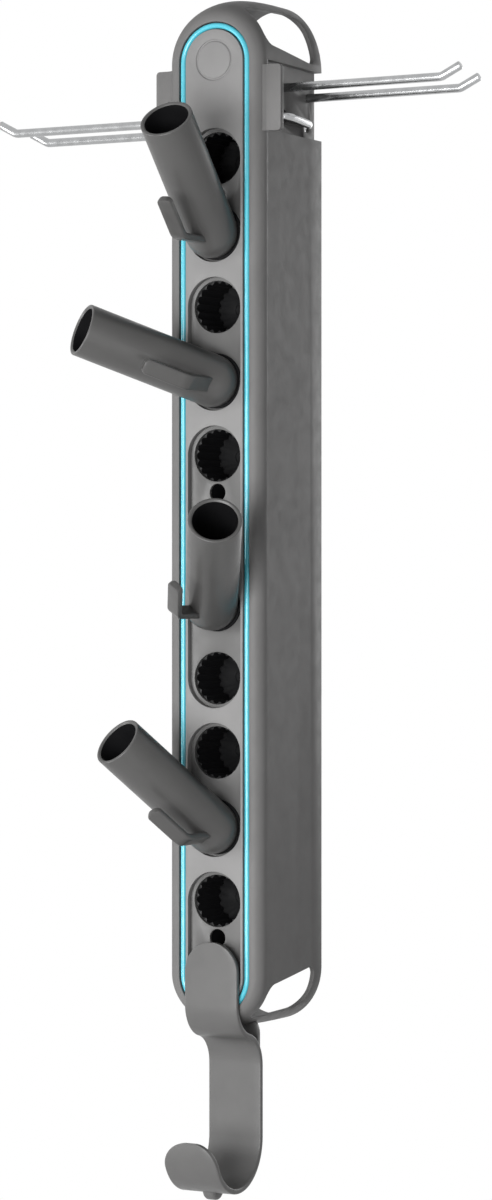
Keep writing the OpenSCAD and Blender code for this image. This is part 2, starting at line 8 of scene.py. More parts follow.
import bmesh
import bpy
from mathutils import Matrix, Vector


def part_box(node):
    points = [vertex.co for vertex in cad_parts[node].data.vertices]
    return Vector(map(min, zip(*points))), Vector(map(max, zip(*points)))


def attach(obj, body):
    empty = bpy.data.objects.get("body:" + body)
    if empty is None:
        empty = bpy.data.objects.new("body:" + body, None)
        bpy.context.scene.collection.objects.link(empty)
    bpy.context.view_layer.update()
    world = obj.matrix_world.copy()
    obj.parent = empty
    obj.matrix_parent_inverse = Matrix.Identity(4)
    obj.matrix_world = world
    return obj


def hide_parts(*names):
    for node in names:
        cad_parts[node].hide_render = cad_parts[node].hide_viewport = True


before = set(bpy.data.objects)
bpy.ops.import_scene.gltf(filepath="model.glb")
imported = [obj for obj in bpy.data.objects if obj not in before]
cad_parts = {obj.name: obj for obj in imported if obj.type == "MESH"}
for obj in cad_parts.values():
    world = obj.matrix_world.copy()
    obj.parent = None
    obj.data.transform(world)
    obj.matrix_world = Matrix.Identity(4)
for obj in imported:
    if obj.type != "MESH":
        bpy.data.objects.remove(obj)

logging.basicConfig(level=logging.INFO, format="%(message)s")
log = logging.getLogger("tool_rack")

MM = 0.001
OVER = 0.001  # how far a cutter reaches past a surface, in metres
NEAR = 0.00001  # points closer than this are one point
SAME_RING = 0.000002  # how exactly a new ring's points lie in its plane

Point = tuple[float, float, float]


class Part(Enum):
    """Kinds of mesh elements, each with the edit mode's word and the name of the mesh's list."""

    POINT = ("VERT", "verts")
    EDGE = ("EDGE", "edges")
    FACE = ("FACE", "faces")


class Mix(Enum):
    """Ways to combine two solids."""

    CUT = "DIFFERENCE"
    JOIN = "UNION"


class Slot(Enum):
    """The record's names of the materials."""

    HOUSING = "anthracite_plastic"
    FACE = "mid_grey_plastic"
    BLACK = "near_black_plastic"
    BEAD = "teal_plastic"
    WIRE = "bright_wire"


# Modelling by hand: selection, primitives and edit operators

def deselect_everything() -> None:
    """Leave edit mode and take every object out of the selection."""
    if bpy.context.object and bpy.context.object.mode != "OBJECT":
        bpy.ops.object.mode_set(mode="OBJECT")
    bpy.ops.object.select_all(action="DESELECT")


def pick(piece: bpy.types.Object) -> None:
    """Make one object the only selected and the active one.

    Args:
        piece: The object to work on.
    """
    deselect_everything()
    piece.select_set(True)
    bpy.context.view_layer.objects.active = piece


@contextmanager
def editing(piece: bpy.types.Object, part: Part = Part.FACE) -> Iterator[None]:
    """Hold an object in edit mode, with nothing selected at the start.

    Args:
        piece: The object to edit.
        part: What is selected there.

    Returns:
        An iterator that the with statement runs.
    """
    pick(piece)
    bpy.ops.object.mode_set(mode="EDIT")
    bpy.ops.mesh.select_mode(type=part.value[0])
    bpy.ops.mesh.select_all(action="DESELECT")
    yield
    bpy.ops.object.mode_set(mode="OBJECT")


def select_where(piece: bpy.types.Object, part: Part, test: Callable[[object], bool]) -> int:
    """Select the vertices, edges or faces that a test accepts, and nothing else.

    Args:
        piece: The object in edit mode.
        part: What is selected.
        test: Says of one element whether it belongs to the selection.

    Returns:
        How many elements were selected.
    """
    mesh = bmesh.from_edit_mesh(piece.data)
    bpy.ops.mesh.select_all(action="DESELECT")
    chosen = [element for element in getattr(mesh, part.value[1]) if test(element)]
    for element in chosen:
        element.select_set(True)
    mesh.select_flush_mode()
    bmesh.update_edit_mesh(piece.data)
    return len(chosen)


def settle(piece: bpy.types.Object, name: str) -> bpy.types.Object:
    """Name a new primitive and write its place, turn and scale into its mesh.

    Args:
        piece: The object that an operator has just added.
        name: Its name.

    Returns:
        The same object.
    """
    pick(piece)
    bpy.ops.object.transform_apply(location=True, rotation=True, scale=True)
    piece.name = name
    piece.data.name = name
    return piece


def add_ring(name: str, radius: float, centre: Point, vertices: int, filled: bool = False,
             turn: Point = (math.pi / 2, 0.0, 0.0)) -> bpy.types.Object:
    """Add a circle, which faces -Y unless another turn is given.

    Args:
        name: Name of the new object.
        radius: Radius in metres.
        centre: Middle of the circle.
        vertices: Number of points round it.
        filled: Whether it starts as a face or as a bare loop of edges.
        turn: Euler angles of the circle.

    Returns:
        The new object.
    """
    deselect_everything()
    bpy.ops.mesh.primitive_circle_add(
        vertices=vertices, radius=radius, fill_type="NGON" if filled else "NOTHING",
        location=centre, rotation=turn)
    return settle(bpy.context.object, name)


def add_drum(name: str, radius: float, y_front: float, y_back: float, x: float = 0.0, z: float = 0.0,
             vertices: int = 96) -> bpy.types.Object:
    """Add a cylinder along Y.

    Args:
        name: Name of the new object.
        radius: Radius in metres.
        y_front: Where it starts.
        y_back: Where it ends.
        x: Place of its axis.
        z: Height of its axis.
        vertices: Number of sides.

    Returns:
        The new object.
    """
    deselect_everything()
    bpy.ops.mesh.primitive_cylinder_add(
        vertices=vertices, radius=radius, depth=y_back - y_front,
        location=(x, (y_front + y_back) / 2, z), rotation=(math.pi / 2, 0.0, 0.0))
    return settle(bpy.context.object, name)


def add_block(name: str, low: Point, high: Point) -> bpy.types.Object:
    """Add a box between two corners.

    Args:
        name: Name of the new object.
        low: Its lowest corner.
        high: Its highest corner.

    Returns:
        The new object.
    """
    deselect_everything()
    middle = [(a + b) / 2 for a, b in zip(low, high)]
    bpy.ops.mesh.primitive_cube_add(size=1.0, location=middle)
    block = bpy.context.object
    block.scale = [b - a for a, b in zip(low, high)]
    return settle(block, name)


def extrude(by: Point) -> None:
    """Extrude the selection and move the new end."""
    bpy.ops.mesh.extrude_region_move(TRANSFORM_OT_translate={"value": by})


def resize(factors: Point, about: Point) -> None:
    """Scale the selection about a fixed point."""
    bpy.ops.transform.resize(value=factors, center_override=about)


def turn_outwards() -> None:
    """Turn every face of the object in edit mode outwards, and leave all of them selected."""
    bpy.ops.mesh.select_all(action="SELECT")
    bpy.ops.mesh.normals_make_consistent(inside=False)


def weld(reach: float = NEAR) -> None:
    """Merge the points of the object in edit mode that lie together, and turn its faces outwards.

    Args:
        reach: Points closer than this are merged.
    """
    bpy.ops.mesh.select_all(action="SELECT")
    bpy.ops.mesh.remove_doubles(threshold=reach)
    turn_outwards()


def run_modifier(piece: bpy.types.Object, kind: str, **settings: object) -> None:
    """Add a modifier with its settings and apply it at once.

    Args:
        piece: The object to change.
        kind: Type of the modifier.
        settings: Values for the modifier's properties.
    """
    pick(piece)
    modifier = piece.modifiers.new(kind.title(), kind)
    for key, value in settings.items():
        setattr(modifier, key, value)
    bpy.ops.object.modifier_apply(modifier=modifier.name)


def combine(piece: bpy.types.Object, tools: list[bpy.types.Object], how: Mix = Mix.CUT) -> None:
    """Cut or join an object with others, which are used up.

    Args:
        piece: The object that stays.
        tools: The cutters or the parts to join.
        how: Whether they are cut out or joined.
    """
    for tool in tools:
        run_modifier(piece, "BOOLEAN", object=tool, operation=how.value, solver="EXACT")
        bpy.data.objects.remove(tool, do_unlink=True)


def join_all(pieces: list[bpy.types.Object], name: str) -> bpy.types.Object:
    """Join objects that don't touch each other into one.

    Args:
        pieces: The objects; only the first one is left.
        name: Name of the joined object.

    Returns:
        The joined object.
    """
    pick(pieces[0])
    for piece in pieces[1:]:
        piece.select_set(True)
    bpy.ops.object.join()
    return settle(bpy.context.object, name)


def soften(piece: bpy.types.Object, width: float, segments: int = 2, angle: float = 40.0) -> None:
    """Round the sharp edges and shade the piece smooth between them.

    Args:
        piece: The object to finish.
        width: Width of the rounding in metres.
        segments: Steps across the rounding.
        angle: Edges sharper than this many degrees are rounded.
    """
    with editing(piece, Part.POINT):
        bpy.ops.mesh.select_all(action="SELECT")
        bpy.ops.mesh.remove_doubles(threshold=NEAR)
        bpy.ops.mesh.dissolve_degenerate(threshold=NEAR)
        bpy.ops.mesh.normals_make_consistent(inside=False)
    if width > 0:
        run_modifier(piece, "BEVEL", width=width, segments=segments, limit_method="ANGLE",
                     angle_limit=math.radians(angle), use_clamp_overlap=True,
                     harden_normals=False, miter_outer="MITER_ARC")
    smooth(piece)


def smooth(piece: bpy.types.Object, angle: float = 32.0) -> None:
    """Shade smooth, apart from edges sharper than the angle in degrees."""
    pick(piece)
    bpy.ops.object.shade_smooth_by_angle(angle=math.radians(angle))


def close_ends(piece: bpy.types.Object) -> None:
    """Close every open end of a swept shape and turn its faces outwards.

    Args:
        piece: The swept shape.
    """
    with editing(piece, Part.EDGE):
        select_where(piece, Part.EDGE, lambda edge: edge.is_boundary)
        bpy.ops.mesh.fill_holes(sides=0)
        turn_outwards()


def copy_of(piece: bpy.types.Object, name: str) -> bpy.types.Object:
    """Copy an object together with its mesh.

    Args:
        piece: The object to copy.
        name: Name of the copy.

    Returns:
        The copy, at the same place.
    """
    pick(piece)
    bpy.ops.object.duplicate(linked=False)
    twin = bpy.context.object
    twin.name = name
    twin.data.name = name
    return twin


def mirror(piece: bpy.types.Object) -> bpy.types.Object:
    """Move an object to the other side of the column, about the plane X = 0.

    Args:
        piece: The object to mirror.

    Returns:
        The same object.
    """
    piece.scale = (-1.0, 1.0, 1.0)
    settle(piece, piece.name)
    with editing(piece):
        turn_outwards()
    return piece


def shift(piece: bpy.types.Object, by: Point = (0.0, 0.0, 0.0), turn_y: float = 0.0,
          turn_x: float = 0.0) -> bpy.types.Object:
    """Turn an object about the origin, move it and write both into its mesh.

    Args:
        piece: The object to place.
        by: The move, after the turn.
        turn_y: Turn about Y in radians.
        turn_x: Turn about X in radians, made first.

    Returns:
        The same object.
    """
    place = Matrix.Translation(by) @ Matrix.Rotation(turn_y, 4, "Y") @ Matrix.Rotation(turn_x, 4, "X")
    piece.matrix_world = place
    return settle(piece, piece.name)


class Sweep:
    """A section that is drawn out along straights and bends, as an open loop of edges in edit mode."""

    def __init__(self, piece: bpy.types.Object) -> None:
        """Select the section, a mesh that is one bare loop of edges.

        Args:
            piece: The section, in edit mode.
        """
        select_where(piece, Part.EDGE, lambda edge: True)

    def straight(self, by: Point) -> None:
        """Draw the open end out along a line."""
        extrude(by)

    def bend(self, centre: Point, axis: Point, degrees: float, steps: int) -> None:
        """Draw the open end round an axis.

        Args:
            centre: A point on the axis.
            axis: Direction of the axis.
            degrees: Turn of the whole bend, by the right-hand rule.
            steps: Number of new rings.
        """
        bpy.ops.mesh.spin(steps=steps, angle=-math.radians(degrees), center=centre, axis=axis)

    def widen(self, factor: float) -> None:
        """Scale the open end across the column, about the plane X = 0."""
        resize((factor, 1.0, 1.0), (0.0, 0.0, 0.0))


# Sizes that the pieces share, taken from the frame where it holds them

@dataclass(frozen=True)
class ColumnPlan:
    """Places and sizes that the column's pieces share, in metres.

    Args:
        front_y: Plane of the front face.
        floor_y: Plane behind the front face, where the recesses end.
        arc_top_z: Centre of the face's top arc.
        arc_bottom_z: Centre of the face's bottom arc.
        face_r: Radius of the face's round ends.
        pitch: Distance between neighbouring sockets.
    """

    front_y: float
    floor_y: float
    arc_top_z: float
    arc_bottom_z: float
    face_r: float
    pitch: float = 44 * MM

    @property
    def socket_heights(self) -> list[float]:
        """Heights of the twelve sockets, from the top."""
        return [self.arc_bottom_z + self.pitch * step for step in range(11, -1, -1)]

    @property
    def recess_heights(self) -> list[float]:
        """Middles of the six double recesses, from the top."""
        sockets = self.socket_heights
        return [(sockets[k] + sockets[k + 1]) / 2 for k in range(0, 12, 2)]

    @property
    def screw_heights(self) -> list[float]:
        """Middles of the three recesses that have a wall screw."""
        recesses = self.recess_heights
        return [recesses[0], recesses[2], recesses[5]]


def read_plan() -> ColumnPlan:
    """Work the shared sizes out from the frame's front face.

    Returns:
        The column's plan.
    """
    low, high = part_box("front_face")
    return ColumnPlan(
        front_y=low[1], floor_y=high[1], arc_top_z=high[2] - high[0],
        arc_bottom_z=low[2] + high[0], face_r=high[0])


def stretch_to_stadium(piece: bpy.types.Object, top: float, bottom: float) -> None:
    """Move the upper and the lower half of a loop round the origin apart, to two arc centres.

    Args:
        piece: The loop, centred on the origin.
        top: Height that the upper half's centre moves to.
        bottom: Height that the lower half's centre moves to.
    """
    with editing(piece, Part.POINT):
        for sign, height in ((1, top), (-1, bottom)):
            select_where(piece, Part.POINT, lambda v, s=sign: v.co.z * s > 0 and abs(v.co.z) < 0.06)
            bpy.ops.transform.translate(value=(0.0, 0.0, height))


def add_stadium(name: str, radius: float, y: float, top: float, bottom: float, filled: bool = True,
                vertices: int = 96) -> bpy.types.Object:
    """Add an upright outline with two round ends.

    Args:
        name: Name of the new object.
        radius: Radius of the round ends.
        y: Plane of the outline.
        top: Centre of the top end.
        bottom: Centre of the bottom end.
        filled: Whether it starts as a face.
        vertices: Number of points, which start half a step round so that none lies between the halves.

    Returns:
        The new object.
    """
    half_step = math.pi / vertices
    turn = (math.pi / 2, half_step, 0.0)
    piece = add_ring(name, radius, (0.0, y, 0.0), vertices, filled, turn)
    stretch_to_stadium(piece, top, bottom)
    return piece


def add_slab(name: str, radius: float, y_front: float, y_back: float, top: float,
             bottom: float) -> bpy.types.Object:
    """Add a closed plate with two round ends, by extruding its outline.

    Args:
        name: Name of the new object.
        radius: Radius of the round ends.
        y_front: Its front plane.
        y_back: Its back plane.
        top: Centre of the top end.
        bottom: Centre of the bottom end.

    Returns:
        The new object.
    """
    slab = add_stadium(name, radius, y_front, top, bottom)
    with editing(slab):
        bpy.ops.mesh.select_all(action="SELECT")
        extrude((0.0, y_back - y_front, 0.0))
        turn_outwards()
    return slab


@dataclass
class Housing:
    """The deep column, open at the wall, with windows through its domes and an ear on each side.

    Args:
        plan: The shared sizes.
        half_w: Half the column's width.
        front_r: Radius of the flat front's round ends.
        rim_r: Radius of the opening that the face and its bead sit in.
        edge_r: Radius of the front edge.
        dome_top: Height of the top dome above its arc's centre, at the wall.
        dome_bottom: Depth of the bottom dome.
        dome_power: How squarely the domes rise from the front.
        wall: Thickness of the walls.
        recess_in: Depth of a side recess.
        recess_z: Lower and upper end of the side recesses.
        slot_y: Front and back of the slot in a recess's floor.
        slot_up: Lower and upper edge of that slot above the recess's lower end.
        slot_in: Depth of that slot.
        ear_out: How far an ear stands out.
        ear_z: Lower and upper end of the ears.
        ear_y: Front and back of the ears.
        ear_root: Distance from the column's side at which an ear starts to curve back.
        ear_corner: Radius of an ear's outer corners.
        ear_curve: Steps towards the column: way in, way back and growth, the ways in metres.
        rings: Shares of the depth at which the shell has a ring behind its rounded edge.
        top_window: The top window's corners: distance behind the front, height above the arc's
            centre and radius, in millimetres.
        bottom_window: The bottom window's corners.
        wire_z: Heights of the lower and the upper wire hook.
        prongs: Place and drop of the front and the rear prong of each.
        hole_r: Radius of the wires' holes.
        room_r: Radius of the larger holes for a closed end.
        room_x: Where such a hole starts and ends.
        room_shift: How far it is moved towards the middle between the prongs.
        edge_round: Rounding of every sharp edge.
    """

    plan: ColumnPlan
    half_w: float = 31.5 * MM
    front_r: float = 24.2 * MM
    rim_r: float = 23.7 * MM
    edge_r: float = 7.3 * MM
    dome_top: float = 42.3 * MM
    dome_bottom: float = 33.5 * MM
    dome_power: float = 2.5
    wall: float = 2.6 * MM
    recess_in: float = 5.0 * MM
    recess_z: tuple[float, float] = (214.0 * MM, 255.3 * MM)
    slot_y: tuple[float, float] = (-48 * MM, -14 * MM)
    slot_up: tuple[float, float] = (0.5 * MM, 7 * MM)
    slot_in: float = 1.4 * MM
    ear_out: float = 10.4 * MM
    ear_z: tuple[float, float] = (212.8 * MM, 251.8 * MM)
    ear_y: tuple[float, float] = (-73.4 * MM, -69.5 * MM)
    ear_root: float = 1.6 * MM
    ear_corner: float = 2.2 * MM
    ear_curve: tuple[Point, ...] = ((1.0 * MM, -0.5 * MM, 1.0), (1.2 * MM, -0.9 * MM, 1.0),
                                    (1.4 * MM, 0.2 * MM, 0.99), (1.2 * MM, 1.6 * MM, 0.97))
    rings: tuple[float, ...] = (0.12, 0.15, 0.19, 0.24, 0.3, 0.37, 0.45, 0.55, 0.66, 0.8, 1.0)
    top_window: tuple[Point, ...] = ((10, 10.5, 8), (69.4, 3.6, 5), (69.4, 34.8, 11), (10.4, 32.3, 3.5))
    bottom_window: tuple[Point, ...] = ((11.4, -26, 3.5), (68.9, -23.6, 12), (68.9, 1.6, 5), (11.4, -6, 8))
    wire_z: tuple[float, float] = (225.2 * MM, 242.0 * MM)
    prongs: tuple[tuple[float, float], ...] = ((-41.4 * MM, 0.0), (-8.5 * MM, 2.59 * MM))
    hole_r: float = 2.7 * MM
    room_r: float = 4.3 * MM
    room_x: tuple[float, float] = (22 * MM, 29 * MM)
    room_shift: float = 1.45 * MM
    edge_round: float = 0.5 * MM

    def half_width(self, deep: float) -> float:
        """Work out half the column's width at one depth.

        Args:
            deep: Distance behind the front.

        Returns:
            Half the width there.
        """
        if deep >= self.edge_r:
            return self.half_w
        return self.front_r + math.sqrt(self.edge_r ** 2 - (self.edge_r - deep) ** 2)

    def dome(self, height: float, deep: float) -> float:
        """Work out how high a dome stands at one depth.

        Args:
            height: Its height at the wall.
            deep: Distance behind the front.

        Returns:
            Its height above its arc's centre.
        """
        depth = -self.plan.front_y
        share = (1 - (1 - min(deep / depth, 1.0)) ** self.dome_power) ** (1 / self.dome_power)
        return self.front_r + (height - self.front_r) * share

    def shell(self) -> bpy.types.Object:
        """Draw the outer form out ring by ring from the front opening, then give it its thickness.

        Returns:
            A hollow shell, open at the front and at the wall.
        """
        plan = self.plan
        middle = (plan.arc_top_z + plan.arc_bottom_z) / 2
        body = add_stadium("column_housing", self.rim_r, plan.front_y, plan.arc_top_z, plan.arc_bottom_z,
                           filled=False, vertices=144)
        edge = [self.edge_r * (1 - math.cos(math.radians(angle))) for angle in range(10, 91, 10)]
        behind = [-plan.front_y * share for share in self.rings]
        last = (self.rim_r, self.rim_r, self.rim_r)
        with editing(body, Part.EDGE):
            bpy.ops.mesh.select_all(action="SELECT")
            y = plan.front_y
            for deep in [2 * NEAR] + edge + behind:
                step = plan.front_y + deep - y
                y = plan.front_y + deep
                extrude((0.0, step, 0.0))
                size = (self.half_width(deep), self.dome(self.dome_top, deep),
                        self.dome(self.dome_bottom, deep))
                for sign, centre, k in ((1, plan.arc_top_z, 1), (-1, plan.arc_bottom_z, 2)):
                    select_where(body, Part.POINT, lambda v, side=sign, at=y:
                                 abs(v.co.y - at) < SAME_RING and (v.co.z - middle) * side > 0)
                    resize((size[0] / last[0], 1.0, size[k] / last[k]), (0.0, y, centre))
                last = size
                select_where(body, Part.EDGE, lambda e, at=y:
                             all(abs(v.co.y - at) < SAME_RING for v in e.verts))
            turn_outwards()
        self.face_outwards(body)
        run_modifier(body, "SOLIDIFY", thickness=self.wall, offset=-1.0, use_even_offset=True)
        return body

    def face_outwards(self, body: bpy.types.Object) -> None:
        """Flip the open shell if its side faces look inwards.

        Args:
            body: The shell.
        """
        side = max(body.data.polygons, key=lambda face: face.center.x)
        if side.normal.x < 0:
            with editing(body):
                bpy.ops.mesh.select_all(action="SELECT")
                bpy.ops.mesh.flip_normals()

    def window(self, name: str, shape: tuple[Point, ...], centre_z: float) -> bpy.types.Object:
        """Make the cutter of a leaf-shaped window through both sides.

        Args:
            name: Name of the cutter.
            shape: Its four corners, anticlockwise, as the field top_window holds them.
            centre_z: Height of the arc's centre.

        Returns:
            A prism along X.
        """
        corners = [(self.plan.front_y / MM + deep, centre_z / MM + up, radius) for deep, up, radius in shape]
        deselect_everything()
        bpy.ops.mesh.primitive_plane_add(size=1.0, rotation=(0.0, math.pi / 2, 0.0))
        cutter = settle(bpy.context.object, name)
        signs = [(-1, -1), (1, -1), (1, 1), (-1, 1)]
        with editing(cutter, Part.POINT):
            for (side_y, side_z), corner in zip(signs, corners):
                old = (side_y * 0.5, side_z * 0.5)
                select_where(cutter, Part.POINT, lambda v, at=old:
                             abs(v.co.y - at[0]) < 0.01 and abs(v.co.z - at[1]) < 0.01)
                bpy.ops.transform.translate(
                    value=(0.0, corner[0] * MM - old[0], corner[1] * MM - old[1]))
            for k, (y, z, radius) in enumerate(corners):
                here = Vector((y, z))
                before = (Vector(corners[k - 1][:2]) - here).normalized()
                after = (Vector(corners[(k + 1) % 4][:2]) - here).normalized()
                reach = radius / math.tan(before.angle(after) / 2)
                select_where(cutter, Part.POINT, lambda v, at=here:
                             (Vector((v.co.y, v.co.z)) / MM - at).length < 0.01)
                bpy.ops.mesh.bevel(offset=reach * MM, segments=12, affect="VERTICES", clamp_overlap=False)
        with editing(cutter):
            bpy.ops.mesh.select_all(action="SELECT")
            reach = self.half_w + 10 * MM
            bpy.ops.transform.translate(value=(-reach, 0.0, 0.0))
            extrude((2 * reach, 0.0, 0.0))
            turn_outwards()
        return cutter

    def ear(self) -> bpy.types.Object:
        """Model the right ear: a plate with rounded outer corners that curves back into the column.

        Returns:
            The ear, which still has to be joined to the shell.
        """
        low = (self.half_w + self.ear_root, self.ear_y[0], self.ear_z[0])
        high = (self.half_w + self.ear_out, self.ear_y[1], self.ear_z[1])
        ear = add_block("ear", low, high)
        middle = ((low[0] + high[0]) / 2, self.ear_y[0], sum(self.ear_z) / 2)
        with editing(ear, Part.EDGE):
            select_where(ear, Part.EDGE, lambda e: all(v.co.x > high[0] - NEAR for v in e.verts)
                         and abs(e.verts[0].co.z - e.verts[1].co.z) < NEAR)
            bpy.ops.mesh.bevel(offset=self.ear_corner, segments=8, affect="EDGES")
        with editing(ear):
            for inwards, back, grow in self.ear_curve:
                select_where(ear, Part.FACE, lambda f: f.normal.x < -0.9)
                extrude((-inwards, back, 0.0))
                resize((1.0, 1.0, grow), middle)
        return ear

    def build(self) -> bpy.types.Object:
        """Cut the shell's windows, recesses and holes, and add the ears.

        Returns:
            The finished housing.
        """
        plan = self.plan
        body = self.shell()
        floor_x = self.half_w - self.recess_in
        low, high = self.recess_z
        pocket = add_block(
            "pocket", (floor_x - self.wall + 0.2 * MM, plan.floor_y + self.wall, low - self.wall),
            (self.half_w - 0.8 * MM, -NEAR, high + self.wall))
        ear = self.ear()
        pocket_left, ear_left = mirror(copy_of(pocket, "pocket_left")), mirror(copy_of(ear, "ear_left"))
        combine(body, [pocket_left, pocket, ear_left, ear], Mix.JOIN)
        recess = add_block("recess", (floor_x, self.ear_y[1], low), (self.half_w + 3 * MM, 2 * MM, high))
        slot = add_block("slot", (floor_x - self.slot_in, self.slot_y[0], low + self.slot_up[0]),
                         (self.half_w, self.slot_y[1], low + self.slot_up[1]))
        recess_left, slot_left = mirror(copy_of(recess, "recess_left")), mirror(copy_of(slot, "slot_left"))
        combine(body, [recess_left, recess, slot_left, slot,
                       self.window("top_window", self.top_window, plan.arc_top_z),
                       self.window("bottom_window", self.bottom_window, plan.arc_bottom_z)])
        combine(body, self.bend_rooms() + self.prong_holes())
        soften(body, self.edge_round, 2, 42.0)
        return body

    def hole(self, radius: float, ends: tuple[float, float], sides: int, y: float,
             z: float) -> bpy.types.Object:
        """Make the cutter of one hole along X.

        Args:
            radius: Its radius.
            ends: Where it starts and ends.
            sides: Number of its sides.
            y: Place of its axis.
            z: Height of its axis.

        Returns:
            The cutter.
        """
        near, far = sorted(ends)
        cutter = add_drum("wire_hole", radius, near, far, vertices=sides)
        cutter.matrix_world = Matrix.Rotation(-math.pi / 2, 4, "Z")
        settle(cutter, cutter.name)
        return shift(cutter, (0.0, y, z))

    def bend_rooms(self) -> list[bpy.types.Object]:
        """Make the cutters of the larger holes on the side where a wire's closed end slides in.

        Returns:
            Four cutters, two on the right for the lower hook and two on the left for the upper one.
        """
        rooms = []
        for side, height in zip((1, -1), self.wire_z):
            ends = (side * self.room_x[0], side * self.room_x[1])
            for (y, drop), way in zip(self.prongs, (1, -1)):
                rooms.append(self.hole(self.room_r, ends, 40, y + way * self.room_shift, height - drop))
        return rooms

    def prong_holes(self) -> list[bpy.types.Object]:
        """Make the cutters of the holes that the wire hooks pass through.

        Returns:
            Four cutters, from side to side.
        """
        return [self.hole(self.hole_r, (-self.half_w, self.half_w), 32, y, height - drop)
                for height in self.wire_z for y, drop in self.prongs]


def plate_section(name: str, width: float, thickness: float, corner: float,
                  across: bool = True) -> bpy.types.Object:
    """Add a flat rectangular section with rounded corners, in the plane z = 0, as a bare loop.

    Args:
        name: Name of the new object.
        width: Size along X.
        thickness: Size along Y.
        corner: Radius of its corners.
        across: Whether the wide sides are cut into strips, for a smooth bend of wide parts.

    Returns:
        The new object, centred on the origin.
    """
    deselect_everything()
    bpy.ops.mesh.primitive_plane_add(size=1.0)
    section = bpy.context.object
    section.scale = (width, thickness, 1.0)
    settle(section, name)
    with editing(section, Part.POINT):
        bpy.ops.mesh.select_all(action="SELECT")
        bpy.ops.mesh.bevel(offset=corner, segments=4, affect="VERTICES", clamp_overlap=False)
    with editing(section):
        bpy.ops.mesh.select_all(action="SELECT")
        bpy.ops.mesh.delete(type="ONLY_FACE")
    with editing(section, Part.EDGE):
        if across:
            select_where(section, Part.EDGE, lambda e: e.calc_length() > width / 2)
            bpy.ops.mesh.subdivide(number_cuts=6)
    return section


def spline_disc(name: str, shrink: float, y: float, inner: float = 13.8 * MM,
                groove: float = 2.0 * MM) -> bpy.types.Object:
    """Add a filled outline with eighteen round teeth, from a circle whose points are moved out in groups.

    Args:
        name: Name of the new object.
        shrink: How much smaller it is all round than a socket.
        y: Plane of the outline.
        inner: Radius between the teeth.
        groove: Radius of one tooth.

    Returns:
        The new object, centred on the axis x = 0, z = 0.
    """
    teeth, per_tooth = 18, 8
    crest = inner - shrink
    round_r = groove - shrink
    middle = inner - 0.4 * MM
    disc = add_ring(name, crest, (0.0, y, 0.0), teeth * per_tooth, True)
    pitch = 2 * math.pi / teeth
    with editing(disc, Part.POINT):
        for level in range(4):
            off = level * pitch / per_tooth
            reach = middle * math.cos(off) + math.sqrt(max(0.0, round_r ** 2 - (middle * math.sin(off)) ** 2))

            def belongs(v: bmesh.types.BMVert, wanted: float = off) -> bool:
                """Say whether a point lies at this distance from the middle of a tooth."""
                around = math.atan2(v.co.z, v.co.x) % pitch
                return abs(min(around, pitch - around) - wanted) < 0.01

            select_where(disc, Part.POINT, belongs)
            resize((reach / crest, 1.0, reach / crest), (0.0, y, 0.0))
    return disc


def spline_block(name: str, shrink: float, y_front: float, y_back: float) -> bpy.types.Object:
    """Add a closed toothed block along Y.

    Args:
        name: Name of the new object.
        shrink: How much smaller it is all round than a socket.
        y_front: Its front plane.
        y_back: Its back plane.

    Returns:
        The new object.
    """
    block = spline_disc(name, shrink, y_front)
    with editing(block):
        bpy.ops.mesh.select_all(action="SELECT")
        extrude((0.0, y_back - y_front, 0.0))
        turn_outwards()
    return block


